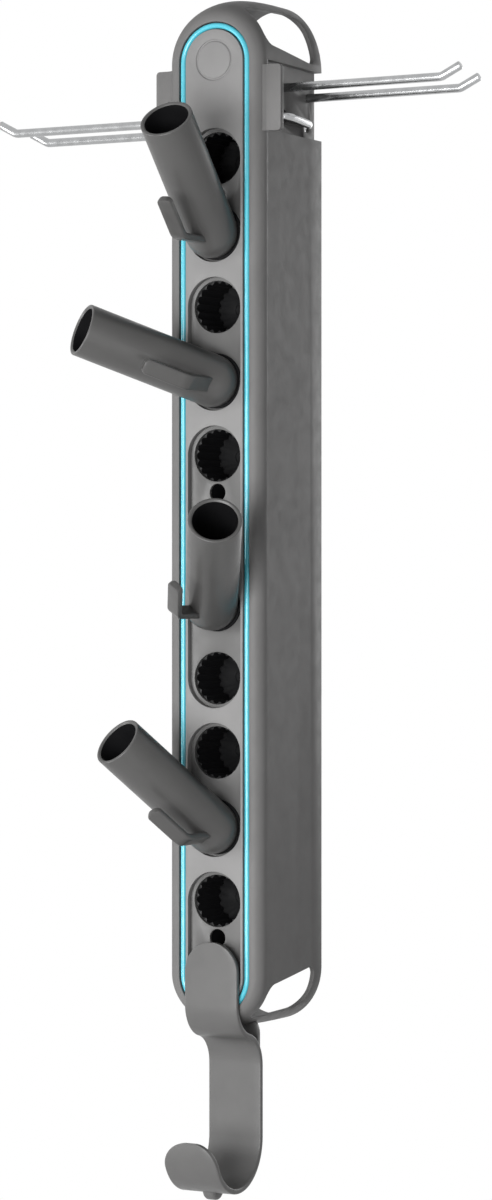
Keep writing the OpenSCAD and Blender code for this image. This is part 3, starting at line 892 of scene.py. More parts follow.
@dataclass
class FrontFace:
    """The windowed face plate, its plain ring seat, and the coloured bead round it.

    Args:
        plan: The shared sizes.
        window_r: Radius of a recess's round ends.
        seat_r: Outer radius of the ring round the plain seat.
        seat_ring_w: Width of that ring.
        seat_up: Height of the seat's middle above the top arc's centre.
        bead_mid_r: Radius to the middle of the bead.
        bead_w: Width of the bead.
        bead_top: Gap between the bead's top and the front plane.
        bead_root: Stretch of the bead's inner half into its groove.
        edge_round: Rounding of the face's edges.
    """

    plan: ColumnPlan
    window_r: float = 17.6 * MM
    seat_r: float = 12.2 * MM
    seat_ring_w: float = 1.4 * MM
    seat_up: float = 1 * MM
    bead_mid_r: float = 21.45 * MM
    bead_w: float = 3.4 * MM
    bead_top: float = 0.2 * MM
    bead_root: float = 1.45
    edge_round: float = 0.45 * MM

    def plate(self) -> bpy.types.Object:
        """Model the face: a plate with two round ends, six windows and the seat's ring.

        Returns:
            The finished face.
        """
        plan = self.plan
        face = add_slab("face_plate", plan.face_r, plan.front_y, plan.floor_y,
                        plan.arc_top_z, plan.arc_bottom_z)
        reach = plan.pitch / 2
        cutter = add_slab("window_cutter", self.window_r, plan.front_y - OVER, plan.floor_y + OVER, reach,
                          -reach)
        cutters = []
        for k, height in enumerate(plan.recess_heights):
            cutters.append(shift(copy_of(cutter, f"window_{k}"), (0.0, 0.0, height)))
        bpy.data.objects.remove(cutter, do_unlink=True)
        combine(face, [join_all(cutters + [self.seat_ring()], "face_cutter")])
        soften(face, self.edge_round, 3, 50.0)
        return face

    def seat_ring(self) -> bpy.types.Object:
        """Model the cutter of the seat's shallow round-bottomed ring.

        Returns:
            A closed ring.
        """
        plan = self.plan
        mid_r = self.seat_r - self.seat_ring_w / 2
        ring = add_ring("seat_ring", self.seat_ring_w / 2, (mid_r, 0.0, 0.0), 16, False, (0.0, 0.0, 0.0))
        with editing(ring, Part.EDGE):
            bpy.ops.mesh.select_all(action="SELECT")
            bpy.ops.mesh.spin(steps=96, angle=2 * math.pi, center=(0.0, 0.0, 0.0), axis=(0.0, 1.0, 0.0))
            weld()
        return shift(ring, (0.0, plan.front_y, plan.arc_top_z + self.seat_up))

    def bead(self) -> bpy.types.Object:
        """Sweep the bead's section, which is round in front and longer behind, round the face.

        Returns:
            The finished bead.
        """
        plan = self.plan
        half = self.bead_w / 2
        middle_y = plan.front_y + self.bead_top + half
        bead = add_ring("trim_bead", half, (self.bead_mid_r, middle_y, plan.arc_bottom_z), 20, False,
                        (0.0, 0.0, 0.0))
        with editing(bead, Part.POINT):
            select_where(bead, Part.POINT, lambda v: v.co.y > middle_y + half * 0.2)
            resize((1.0, self.bead_root, 1.0), (0.0, middle_y, 0.0))
        with editing(bead, Part.EDGE):
            sweep = Sweep(bead)
            sweep.straight((0.0, 0.0, plan.arc_top_z - plan.arc_bottom_z))
            sweep.bend((0.0, middle_y, plan.arc_top_z), (0.0, -1.0, 0.0), 180, 48)
            sweep.straight((0.0, 0.0, plan.arc_bottom_z - plan.arc_top_z))
            sweep.bend((0.0, middle_y, plan.arc_bottom_z), (0.0, -1.0, 0.0), 180, 48)
            weld(5 * NEAR)
        smooth(bead, 60)
        return bead


@dataclass
class SocketStrip:
    """The plate behind the face, its twelve toothed cups and its three screw tubes.

    Args:
        plan: The shared sizes.
        plate_r: Radius of the plate's round ends.
        plate_t: Thickness of the plate.
        mouth_r: Radius of the plate's round holes over the cups.
        cup_r: Outer radius of a cup.
        cup_end: Plane of the cups' outer ends.
        cup_floor: Plane of the cups' floors.
        dimple_r: Radius of the dimple in a cup's floor.
        dimple_deep: Depth of that dimple.
        access_r: Radius of a screwdriver hole.
        tube_wall: Wall of a screw tube.
        screw_r: Radius of a wall screw's hole.
        screw_seat: Thickness of a wall screw's seat.
        hole_start: Where the cutter of a wall screw's hole starts.
        plate_round: Rounding of the plate's edges.
        cup_round: Rounding of the cups' edges.
        tube_round: Rounding of the screw tubes' edges.
    """

    plan: ColumnPlan
    plate_r: float = 27.4 * MM
    plate_t: float = 2.5 * MM
    mouth_r: float = 15.5 * MM
    cup_r: float = 17.2 * MM
    cup_end: float = -42 * MM
    cup_floor: float = -44 * MM
    dimple_r: float = 4 * MM
    dimple_deep: float = 0.6 * MM
    access_r: float = 5.25 * MM
    tube_wall: float = 1.5 * MM
    screw_r: float = 2.75 * MM
    screw_seat: float = 4 * MM
    hole_start: float = -10 * MM
    plate_round: float = 0.35 * MM
    cup_round: float = 0.3 * MM
    tube_round: float = 0.4 * MM

    @property
    def back_y(self) -> float:
        """Plane behind the plate."""
        return self.plan.floor_y + self.plate_t

    def plate(self) -> bpy.types.Object:
        """Model the plate with its round holes and screwdriver holes.

        Returns:
            The finished plate.
        """
        plan = self.plan
        plate = add_slab("socket_plate", self.plate_r, plan.floor_y, self.back_y,
                         plan.arc_top_z, plan.arc_bottom_z)
        front, back = plan.floor_y - OVER, self.back_y + OVER
        cutters = [add_drum("socket_hole", self.mouth_r, front, back, 0.0, height)
                   for height in plan.socket_heights]
        cutters += [add_drum("access_hole", self.access_r, front, back, 0.0, height, 48)
                    for height in plan.screw_heights]
        combine(plate, [join_all(cutters, "plate_cutter")])
        soften(plate, self.plate_round, 2, 50.0)
        return plate

    def cup(self) -> bpy.types.Object:
        """Model one cup at height zero: a toothed hollow with a floor, in a round wall.

        Returns:
            The cup, with its floor marked for the second material, a darker and duller black that is painted
            shade at the bottom of the socket.
        """
        cup = add_drum("socket_cup", self.cup_r, self.back_y, self.cup_end)
        hollow = spline_block("cup_hollow", 0.0, self.back_y - OVER, self.cup_floor)
        dimple = add_drum("cup_dimple", self.dimple_r, self.cup_floor - OVER,
                          self.cup_floor + self.dimple_deep, vertices=32)
        combine(cup, [hollow, dimple])
        soften(cup, self.cup_round, 2, 50.0)
        # The floor takes the darker, duller black: painted shade at the bottom of each socket.
        for face in cup.data.polygons:
            if abs(face.normal.y) > 0.9 and face.center.y > self.cup_floor - 0.5 * MM:
                face.material_index = 1
        return cup

    def cups(self) -> list[bpy.types.Object]:
        """Copy the cup to every socket.

        Returns:
            The cups, from the top.
        """
        first = self.cup()
        made = [shift(copy_of(first, f"socket_cup_{k + 1}"), (0.0, 0.0, height))
                for k, height in enumerate(self.plan.socket_heights)]
        bpy.data.objects.remove(first, do_unlink=True)
        return made

    def tubes(self) -> list[bpy.types.Object]:
        """Model the three screw tubes that reach the wall.

        Returns:
            The tubes, from the top.
        """
        made = []
        for k, height in enumerate(self.plan.screw_heights):
            tube = add_drum(f"screw_tube_{k + 1}", self.access_r + self.tube_wall, self.back_y, 0.0, 0.0,
                            height, 48)
            bore = add_drum("tube_bore", self.access_r, self.back_y - OVER, -self.screw_seat, 0.0, height, 48)
            hole = add_drum("tube_hole", self.screw_r, self.hole_start, OVER, 0.0, height, 32)
            combine(tube, [bore, hole])
            soften(tube, self.tube_round, 2, 50.0)
            made.append(tube)
        return made


@dataclass
class TubeHolder:
    """One angled tube holder, modelled at the origin's socket with its tube upright in the Y-Z plane.

    Args:
        elbow_y: Plane of the elbow's centre.
        elbow_back: Plane of the elbow's flat back.
        tube_r: Outer radius of the tube.
        bore_r: Radius of its bore.
        tube_len: Length from the elbow's centre to the mouth.
        solid_len: Length above the elbow's centre that stays solid.
        lean: Angle between the tube and the socket's axis, in degrees.
        hook_w: Width of the side hook.
        hook_t: Thickness of the side hook.
        hook_out: Distance of its upright from the tube's axis.
        hook_drop: Distance of its arm below the elbow's centre.
        hook_bend: Radius of its bend.
        hook_reach: Distance of its tip along the tube.
        hook_corner: Corner radius of its tip.
        stub_r: Radius of the stub in the bush.
        stub_end: Plane of the stub's inner end.
        lip: Width of the chamfer inside the mouth.
        lip_deep: Depth of that chamfer.
        neck_r: Radius of the elbow near its bush.
        neck_y: Where the neck starts, and where the cut round it starts.
        behind_cut: Half size of the cutter behind the elbow, and its height above the socket's axis.
        beside_cut: The same of the cutter round the neck.
        dome_turns: Angles at which the elbow's dome has a ring, in degrees.
        rim_round: Rounding of the mouth's outer edge.
        hook_start: Where the side hook starts inside the tube, seen from the elbow's centre.
        hook_round: Corner radius of the side hook's section.
        tip_turns: Angles at which the corners of its tip have a ring, in degrees.
        edge_round: Rounding of the other edges.
    """

    elbow_y: float = -81.4 * MM
    elbow_back: float = -75.85 * MM
    tube_r: float = 15.7 * MM
    bore_r: float = 13.3 * MM
    tube_len: float = 85.3 * MM
    solid_len: float = 14 * MM
    lean: float = 45.0
    hook_w: float = 9.4 * MM
    hook_t: float = 4.0 * MM
    hook_out: float = 31.2 * MM
    hook_drop: float = 5.6 * MM
    hook_bend: float = 8.0 * MM
    hook_reach: float = 51.5 * MM
    hook_corner: float = 3.0 * MM
    stub_r: float = 10.95 * MM
    stub_end: float = -47.7 * MM
    lip: float = 0.9 * MM
    lip_deep: float = 0.8 * MM
    neck_r: float = 16.6 * MM
    neck_y: tuple[float, float] = (-79.5 * MM, -79 * MM)
    behind_cut: tuple[float, float] = (40 * MM, 60 * MM)
    beside_cut: tuple[float, float] = (50 * MM, 70 * MM)
    dome_turns: tuple[int, ...] = (*range(0, 90, 6), 88)
    rim_round: float = 0.7 * MM
    hook_start: float = -10 * MM
    hook_round: float = 1.1 * MM
    tip_turns: tuple[int, ...] = (15, 30, 45, 60, 75, 88)
    edge_round: float = 0.45 * MM

    @property
    def along(self) -> Vector:
        """Direction of the tube, from its elbow to its mouth."""
        lean = math.radians(self.lean)
        return Vector((0.0, -math.sin(lean), math.cos(lean)))

    def tube(self) -> bpy.types.Object:
        """Shape the tube from one cylinder: a hollow from its upper end and a dome on its lower end.

        Returns:
            The tube at its lean.
        """
        deselect_everything()
        bpy.ops.mesh.primitive_cylinder_add(vertices=96, radius=self.tube_r, depth=self.tube_len,
                                            location=(0.0, 0.0, self.tube_len / 2))
        tube = settle(bpy.context.object, "tube_holder")
        with editing(tube):
            select_where(tube, Part.FACE, lambda f: f.normal.z > 0.9)
            bpy.ops.mesh.inset(thickness=self.tube_r - self.bore_r - self.lip)
            bpy.ops.mesh.inset(thickness=self.lip)
            bpy.ops.transform.translate(value=(0.0, 0.0, -self.lip_deep))
            extrude((0.0, 0.0, self.solid_len - self.tube_len + self.lip_deep))
            select_where(tube, Part.FACE, lambda f: f.normal.z < -0.9 and f.calc_center_median().z < NEAR)
            turns = [math.radians(turn) for turn in self.dome_turns]
            for before, after in zip(turns, turns[1:]):
                extrude((0.0, 0.0, -self.tube_r * (math.sin(after) - math.sin(before))))
                factor = math.cos(after) / math.cos(before)
                resize((factor, factor, 1.0), (0.0, 0.0, 0.0))
            bpy.ops.mesh.poke()
        with editing(tube, Part.EDGE):
            select_where(tube, Part.EDGE, lambda e: all(
                abs(v.co.z - self.tube_len) < NEAR and math.hypot(v.co.x, v.co.y) > self.tube_r - NEAR
                for v in e.verts))
            bpy.ops.mesh.bevel(offset=self.rim_round, segments=4, affect="EDGES")
        return shift(tube, (0.0, self.elbow_y, 0.0), turn_x=math.radians(self.lean))

    def side_hook(self) -> bpy.types.Object:
        """Sweep the side hook: out of the elbow, round its bend, and up to its rounded tip.

        Returns:
            The side hook, which still has to be joined to the tube.
        """
        lean = math.radians(self.lean)
        corner_s = (math.cos(lean) * self.hook_out - self.hook_drop) / math.sin(lean)
        corner_out = math.sin(lean) * self.hook_out + math.cos(lean) * corner_s
        back_off = self.hook_bend * math.tan(lean / 2)
        section = plate_section("side_hook", self.hook_w, self.hook_t, self.hook_round, False)
        shift(section, (0.0, self.elbow_y + self.hook_start, -self.hook_drop), turn_x=math.pi / 2)
        along = self.along
        length = self.hook_reach - corner_s - back_off - self.hook_corner
        with editing(section, Part.EDGE):
            sweep = Sweep(section)
            sweep.straight((0.0, -corner_out + back_off - self.hook_start, 0.0))
            sweep.bend((0.0, self.elbow_y - corner_out + back_off, self.hook_bend - self.hook_drop),
                       (-1.0, 0.0, 0.0), self.lean, 10)
            sweep.straight(tuple(along * length))
            done, half = 0.0, self.hook_w / 2
            width = half
            for turn in map(math.radians, self.tip_turns):
                reach = self.hook_corner * math.sin(turn)
                wanted = half - self.hook_corner * (1 - math.cos(turn))
                sweep.straight(tuple(along * (reach - done)))
                sweep.widen(wanted / width)
                done, width = reach, wanted
        close_ends(section)
        return section

    def build(self) -> bpy.types.Object:
        """Join the tube, the side hook and the stub.

        Returns:
            One holder, which is then copied and turned.
        """
        holder = self.tube()
        combine(holder, [self.side_hook()], Mix.JOIN)
        side, up = self.behind_cut
        behind = add_block("behind", (-side, self.elbow_back, -side), (side, side, up))
        side, up = self.beside_cut
        beside = add_block("beside", (-side, self.neck_y[1], -side), (side, self.elbow_back + OVER, up))
        neck = add_drum("neck", self.neck_r, self.neck_y[0], self.elbow_back + 2 * OVER)
        combine(beside, [neck])
        combine(holder, [behind, beside])
        stub = add_drum("stub", self.stub_r, self.elbow_back - 2 * MM, self.stub_end, vertices=72)
        combine(holder, [stub], Mix.JOIN)
        soften(holder, self.edge_round, 3, 38.0)
        # The near-black bore is painted shade inside the tube.
        self.paint_bore_shade(holder)
        return holder

    def paint_bore_shade(self, holder: bpy.types.Object) -> None:
        """Give the faces inside the tube the second material slot, whose near-black is painted shade in the
        bore.

        Args:
            holder: The joined holder.
        """
        elbow = Vector((0.0, self.elbow_y, 0.0))
        along = self.along
        for face in holder.data.polygons:
            reach = (face.center - elbow).dot(along)
            aside = (face.center - elbow - along * reach).length
            if aside < self.bore_r + 0.1 * MM and self.solid_len / 2 < reach < self.tube_len - 2 * MM:
                face.material_index = 1

    def placed(self, first: bpy.types.Object, number: int, height: float, turn: float) -> bpy.types.Object:
        """Copy the holder to its socket and turn it there.

        Args:
            first: The modelled holder.
            number: Its number, from the top.
            height: Height of its socket.
            turn: Its turn from upright, in degrees.

        Returns:
            The placed copy.
        """
        return shift(copy_of(first, f"tube_holder_{number}"), (0.0, 0.0, height), turn_y=math.radians(turn))


@dataclass
class Bush:
    """A toothed bush with a thin dark flange, in which a holder's stub turns. The flange's dark rim round
    each holder's base is also painted shadow where the gap behind the holder lies in shade.

    Args:
        flange_r: Radius of the flange.
        flange_y: Front and back of the flange.
        plug_end: Plane of the plug's inner end.
        bore_r: Radius of the bore.
        gap: Clearance of the teeth in their socket.
        edge_round: Rounding of its edges.
    """

    flange_r: float = 16.3 * MM
    flange_y: tuple[float, float] = (-75.55 * MM, -74.05 * MM)
    plug_end: float = -48 * MM
    bore_r: float = 11.2 * MM
    gap: float = 0.25 * MM
    edge_round: float = 0.3 * MM

    def build(self) -> bpy.types.Object:
        """Join a flange and a toothed plug, and bore both.

        Returns:
            One bush, which is then copied.
        """
        bush = spline_block("spline_bush", self.gap, self.flange_y[1] - 0.4 * MM, self.plug_end)
        # The dark flange is partly painted shadow in the gap behind the holder's elbow.
        flange = add_drum("flange", self.flange_r, self.flange_y[0], self.flange_y[1])
        combine(bush, [flange], Mix.JOIN)
        combine(bush, [add_drum("bush_bore", self.bore_r, self.flange_y[0] - 10 * OVER, 0.0, vertices=72)])
        soften(bush, self.edge_round, 2, 50.0)
        return bush


@dataclass
class StripHook:
    """The wide J hook: one bent strip with a foot, a support lug and a toothed plug.

    Args:
        plan: The shared sizes.
        width: Width of the strip.
        thick: Thickness of the strip.
        tongue_y: Middle plane of the tongue.
        tongue_up: Height of the tongue's arc centre above its socket.
        bend_top: Height of the upper end of the S bend.
        bend_bottom: Height of its lower end.
        shank_y: Middle plane of the shank.
        hook_z: Height of the J's centre.
        hook_r: Radius of the J, to the strip's middle.
        tip_up: Straight length of the tip.
        tip_corner: Corner radius of the tip.
        foot_r: Radius of the foot.
        foot_w: Width of the foot.
        foot_z: Height of the foot's axis.
        lug_w: Width of the support lug.
        lug_top: Height of the lug's upper edge.
        lug_corner: Rounding of the lug's upper corners.
        lug_room: Half width and half height of the room that the lug leaves for the bottom dome.
        plug_gap: Clearance of the plug's teeth in their socket.
        plug_y: Front and back of the plug.
        boss_r: Radius of the boss between strip and plug.
        boss_back: Plane behind the boss.
        foot_edge: Rounding of the foot's ends.
        strip_round: Corner radius of the strip's section.
        top_turns: Angles at which the tongue's top arc has a ring, in degrees.
        plain_turn: Turn of the J before its tip narrows, in degrees.
        tip_turn: Turn from ring to ring where the tip narrows, in degrees.
        tip_shares: Shares of the tip's straight length at which it has a ring.
        edge_round: Rounding of the other edges.
    """

    plan: ColumnPlan
    width: float = 35.4 * MM
    thick: float = 3.3 * MM
    tongue_y: float = -80.95 * MM
    tongue_up: float = 2.5 * MM
    bend_top: float = -303 * MM
    bend_bottom: float = -341 * MM
    shank_y: float = -50.95 * MM
    hook_z: float = -383.5 * MM
    hook_r: float = 28.3 * MM
    tip_up: float = 2.5 * MM
    tip_corner: float = 15 * MM
    foot_r: float = 7 * MM
    foot_w: float = 8.5 * MM
    foot_z: float = -411.15 * MM
    lug_w: float = 31 * MM
    lug_top: float = -310.2 * MM
    lug_corner: float = 12 * MM
    lug_room: tuple[float, float] = (31.8 * MM, 32.2 * MM)
    plug_gap: float = 0.25 * MM
    plug_y: tuple[float, float] = (-74.5 * MM, -48 * MM)
    boss_r: float = 16.3 * MM
    boss_back: float = -74.05 * MM
    foot_edge: float = 2.2 * MM
    strip_round: float = 1.0 * MM
    top_turns: tuple[int, ...] = (82, 75, 68, 60, 52, 44, 36, 28, 20, 12, 5, 0)
    plain_turn: int = 150
    tip_turn: int = 2
    tip_shares: tuple[float, ...] = (0.3, 0.55, 0.75, 0.9, 0.98)
    edge_round: float = 0.5 * MM

    def half_width_at_tip(self, height: float) -> float:
        """Work out half the strip's width near the tip.

        Args:
            height: The height to look at.

        Returns:
            Half the width there.
        """
        over = height - (self.hook_z + self.tip_up - self.tip_corner)
        if over <= 0:
            return self.width / 2
        return self.width / 2 - self.tip_corner + math.sqrt(max(0.0, self.tip_corner ** 2 - over ** 2))

    def strip(self) -> bpy.types.Object:
        """Sweep the strip from the tongue's round top to the tip of the J.

        Returns:
            The closed strip.
        """
        half = self.width / 2
        centre = self.plan.socket_heights[-1] + self.tongue_up
        turns = [math.radians(turn) for turn in self.top_turns]
        section = plate_section("j_strip_hook", self.width, self.thick, self.strip_round)
        width = half * math.cos(turns[0])
        z = centre + half * math.sin(turns[0])
        section.scale = (width / half, 1.0, 1.0)
        section.location = (0.0, self.tongue_y, z)
        settle(section, "j_strip_hook")
        back, high = self.shank_y - self.tongue_y, self.bend_top - self.bend_bottom
        sweep_angle = 2 * math.atan(back / high)
        bend_r = high / (2 * math.sin(sweep_angle))
        hook_y = self.shank_y - self.hook_r
        with editing(section, Part.EDGE):
            sweep = Sweep(section)
            for turn in turns[1:]:
                wanted = half * math.cos(turn)
                height = centre + half * math.sin(turn)
                sweep.straight((0.0, 0.0, height - z))
                sweep.widen(wanted / width)
                z, width = height, wanted
            sweep.straight((0.0, 0.0, self.bend_top - z))
            sweep.bend((0.0, self.tongue_y + bend_r, self.bend_top), (1.0, 0.0, 0.0),
                       math.degrees(sweep_angle), 20)
            sweep.bend((0.0, self.shank_y - bend_r, self.bend_bottom), (-1.0, 0.0, 0.0),
                       math.degrees(sweep_angle), 20)
            sweep.straight((0.0, 0.0, self.hook_z - self.bend_bottom))
            sweep.bend((0.0, hook_y, self.hook_z), (-1.0, 0.0, 0.0), self.plain_turn, 30)
            self.narrow_tip(sweep, (0.0, hook_y, self.hook_z))
        close_ends(section)
        return section

    def narrow_tip(self, sweep: Sweep, middle: Point) -> None:
        """Draw out the end of the J and its straight tip, and narrow both to the tip's round outline.

        Args:
            sweep: The strip, drawn out as far as the J's plain turn.
            middle: The J's centre.
        """
        width = self.width / 2
        for turn in range(self.plain_turn + self.tip_turn, 180 + self.tip_turn, self.tip_turn):
            sweep.bend(middle, (-1.0, 0.0, 0.0), self.tip_turn, 1)
            wanted = self.half_width_at_tip(self.hook_z - self.hook_r * math.sin(math.radians(turn)))
            sweep.widen(wanted / width)
            width = wanted
        z = self.hook_z
        for share in self.tip_shares:
            height = self.hook_z + self.tip_up * share
            sweep.straight((0.0, 0.0, height - z))
            wanted = self.half_width_at_tip(height)
            sweep.widen(wanted / width)
            z, width = height, wanted

    def build(self) -> bpy.types.Object:
        """Add the plug, the lug and the foot to the strip.

        Returns:
            The finished J hook.
        """
        hook = self.strip()
        low_socket = self.plan.socket_heights[-1]
        plug = shift(spline_block("plug", self.plug_gap, *self.plug_y), (0.0, 0.0, low_socket))
        boss = add_drum("boss", self.boss_r, self.tongue_y, self.boss_back, 0.0, low_socket)
        lug = add_block("lug", (-self.lug_w / 2, self.shank_y - self.thick / 2, self.bend_bottom),
                        (self.lug_w / 2, self.shank_y + self.thick / 2, self.lug_top))
        with editing(lug, Part.EDGE):
            select_where(lug, Part.EDGE, lambda e: all(v.co.z > self.lug_top - OVER for v in e.verts)
                         and abs(e.verts[0].co.x - e.verts[1].co.x) < NEAR)
            bpy.ops.mesh.bevel(offset=self.lug_corner, segments=10, affect="EDGES")
        dome = add_drum("dome", 1.0, -70 * MM, 0.0, vertices=128)
        dome.scale = (self.lug_room[0], 1.0, self.lug_room[1])
        settle(dome, "dome")
        shift(dome, (0.0, 0.0, self.plan.arc_bottom_z))
        combine(lug, [dome])
        foot = self.foot()
        combine(hook, [plug, boss, lug, foot], Mix.JOIN)
        soften(hook, self.edge_round, 2, 45.0)
        return hook

    def foot(self) -> bpy.types.Object:
        """Model the small round foot under the J.

        Returns:
            The foot, hollowed to lie against the strip.
        """
        made = []
        for name, radius, width, height in (("foot", self.foot_r, self.foot_w, self.foot_z),
                                            ("inside", self.hook_r, 3 * self.foot_w, self.hook_z)):
            deselect_everything()
            bpy.ops.mesh.primitive_cylinder_add(
                vertices=96, radius=radius, depth=width,
                location=(0.0, self.shank_y - self.hook_r, height), rotation=(0.0, math.pi / 2, 0.0))
            made.append(settle(bpy.context.object, name))
        soften(made[0], self.foot_edge, 4, 45.0)
        combine(made[0], made[1:])
        return made[0]


@dataclass
class WireHook:
    """A U-shaped hook of bright wire with two raised tips.

    Args:
        radius: Radius of the wire.
        gap: Distance between the prongs.
        reach: Length from the closed end to the front prong's bend.
        shorter: How much shorter the rear prong is.
        bend_r: Radius of the bends.
        tip_len: Length of a tip.
        tip_angle: Angle of the tips, in degrees.
        slope: Slope down towards the wall, in degrees.
        rounding: Shares of the radius at distances from a tip's end, the distances in metres.
    """

    radius: float = 2.6 * MM
    gap: float = 33 * MM
    reach: float = 189.5 * MM
    shorter: float = 3 * MM
    bend_r: float = 6.6 * MM
    tip_len: float = 13.8 * MM
    tip_angle: float = 27.0
    slope: float = 4.5
    rounding: tuple[tuple[float, float], ...] = (
        (0.0, 0.7), (0.1 * MM, 0.86), (0.3 * MM, 0.95), (0.6 * MM, 1.0))

    def build(self, name: str) -> bpy.types.Object:
        """Sweep the wire from one tip, round the closed end, to the other tip.

        Args:
            name: Name of the hook.

        Returns:
            The hook with its closed end at the origin and its prongs along +X.
        """
        rise = math.radians(self.tip_angle)
        tangent = self.bend_r * math.tan(rise / 2)
        out = Vector((math.cos(rise), 0.0, math.sin(rise)))
        tip = Vector((self.reach, 0.0, 0.0)) + out * self.tip_len
        wire = add_ring(name, self.radius, tuple(tip), 32, False, (0.0, math.pi / 2 - rise, 0.0))
        rear = self.reach - self.shorter
        with editing(wire, Part.EDGE):
            sweep = Sweep(wire)
            done, size = self.rounding[0]
            resize((size,) * 3, tuple(tip))
            for far, wanted in self.rounding[1:]:
                sweep.straight(tuple(-out * (far - done)))
                resize((wanted / size,) * 3, tuple(tip - out * far))
                done, size = far, wanted
            sweep.straight(tuple(-out * (self.tip_len - tangent - done)))
            sweep.bend((self.reach - tangent, 0.0, self.bend_r), (0.0, 1.0, 0.0), self.tip_angle, 8)
            sweep.straight((-(self.reach - tangent - self.bend_r), 0.0, 0.0))
            sweep.bend((self.bend_r, self.bend_r, 0.0), (0.0, 0.0, -1.0), 90, 14)
            sweep.straight((0.0, self.gap - 2 * self.bend_r, 0.0))
            sweep.bend((self.bend_r, self.gap - self.bend_r, 0.0), (0.0, 0.0, -1.0), 90, 14)
            sweep.straight((rear - tangent - self.bend_r, 0.0, 0.0))
            sweep.bend((rear - tangent, self.gap, self.bend_r), (0.0, -1.0, 0.0), self.tip_angle, 8)
            end = Vector((rear, self.gap, 0.0)) + out * self.tip_len
            sweep.straight(tuple(out * (self.tip_len - tangent - done)))
            for far, wanted in reversed(self.rounding[:-1]):
                sweep.straight(tuple(out * (done - far)))
                resize((wanted / size,) * 3, tuple(end - out * far))
                done, size = far, wanted
        close_ends(wire)
        smooth(wire, 50)
        return wire

    def placed(self, name: str, closed_x: float, y: float, z: float, leftwards: bool) -> bpy.types.Object:
        """Build a hook and lay it in its holes.

        Args:
            name: Name of the hook.
            closed_x: Place of the closed end's middle line.
            y: Plane of the front prong.
            z: Height of the front prong.
            leftwards: Whether the prongs point to the left.

        Returns:
            The placed hook.
        """
        wire = self.build(name)
        if leftwards:
            mirror(wire)
        return shift(wire, (closed_x, y, z), turn_x=-math.radians(self.slope))


# Finishes

class NodeTree:
    """A small helper that adds nodes to a material and links them."""

    def __init__(self, name: str) -> None:
        """Start an empty material.

        Args:
            name: Name of the material.
        """
        self.material = bpy.data.materials.new(name)
        self.material.use_nodes = True
        self.tree = self.material.node_tree
        self.tree.nodes.clear()

    def add(self, kind: str, **values: object) -> bpy.types.Node:
        """Add a node and set its properties or its input sockets.

        Args:
            kind: The node's type.
            values: Property values, or input values with spaces written as underscores.

        Returns:
            The new node.
        """
        made = self.tree.nodes.new(kind)
        for key, value in values.items():
            socket = made.inputs.get(key.replace("_", " "))
            if socket is not None:
                socket.default_value = value
            else:
                setattr(made, key, value)
        return made

    def link(self, source: bpy.types.NodeSocket, target: bpy.types.NodeSocket) -> None:
        """Join an output to an input."""
        self.tree.links.new(source, target)

    def spread(self, noise: bpy.types.Node, low: float, high: float) -> bpy.types.NodeSocket:
        """Map a noise to a range of values.

        Args:
            noise: The noise node.
            low: Value for its low end.
            high: Value for its high end.

        Returns:
            The output that carries the mapped value.
        """
        ranged = self.add("ShaderNodeMapRange", From_Min=0.3, From_Max=0.7, To_Min=low, To_Max=high)
        self.link(noise.outputs["Fac"], ranged.inputs["Value"])
        return ranged.outputs["Result"]


@dataclass(frozen=True)
class GrainedPlastic:
    """Moulded plastic with a fine spark-eroded grain and slightly uneven gloss.

    Args:
        name: Name of the material.
        colour: Its colour, linear.
        variation: Share by which the colour wanders.
        roughness: Lowest and highest roughness.
        grain: Height of the grain in metres.
        grain_scale: How many grains fit in a metre.
        coat: Strength of a clear sheen on top.
        mirror: Strength of its surface's own reflection.
        cloud_scale: Scale of the pattern in which the colour wanders.
        wear_scale: Scale of the pattern in which the gloss wanders.
        bump: Strength of the grain.
        coat_roughness: Roughness of the clear sheen.
    """

    name: str
    colour: Point
    variation: float = 0.06
    roughness: tuple[float, float] = (0.42, 0.55)
    grain: float = 0.00004
    grain_scale: float = 1500.0
    coat: float = 0.0
    mirror: float = 0.28
    cloud_scale: float = 28.0
    wear_scale: float = 140.0
    bump: float = 0.55
    coat_roughness: float = 0.12

    def build(self) -> bpy.types.Material:
        """Make the material's nodes.

        Returns:
            The material.
        """
        tree = NodeTree(self.name)
        place = tree.add("ShaderNodeTexCoord").outputs["Object"]
        grain = tree.add("ShaderNodeTexNoise", Scale=self.grain_scale, Detail=3.0, Roughness=0.6)
        clouds = tree.add("ShaderNodeTexNoise", Scale=self.cloud_scale, Detail=5.0, Roughness=0.55)
        wear = tree.add("ShaderNodeTexNoise", Scale=self.wear_scale, Detail=4.0, Roughness=0.65)
        for noise in (grain, clouds, wear):
            tree.link(place, noise.inputs["Vector"])
        ramp = tree.add("ShaderNodeValToRGB")
        for element, share in zip(ramp.color_ramp.elements, (1 - self.variation, 1 + self.variation)):
            element.color = (*(min(1.0, part * share) for part in self.colour), 1.0)
        ramp.color_ramp.elements[0].position = 0.32
        ramp.color_ramp.elements[1].position = 0.68
        tree.link(clouds.outputs["Fac"], ramp.inputs["Fac"])
        bump = tree.add("ShaderNodeBump", Strength=self.bump, Distance=self.grain)
        tree.link(grain.outputs["Fac"], bump.inputs["Height"])
        shader = tree.add("ShaderNodeBsdfPrincipled")
        shader.inputs["Coat Weight"].default_value = self.coat
        shader.inputs["Coat Roughness"].default_value = self.coat_roughness
        shader.inputs["Specular IOR Level"].default_value = self.mirror
        tree.link(ramp.outputs["Color"], shader.inputs["Base Color"])
        tree.link(tree.spread(wear, *self.roughness), shader.inputs["Roughness"])
        tree.link(bump.outputs["Normal"], shader.inputs["Normal"])
        tree.link(shader.outputs["BSDF"], tree.add("ShaderNodeOutputMaterial").inputs["Surface"])
        return tree.material


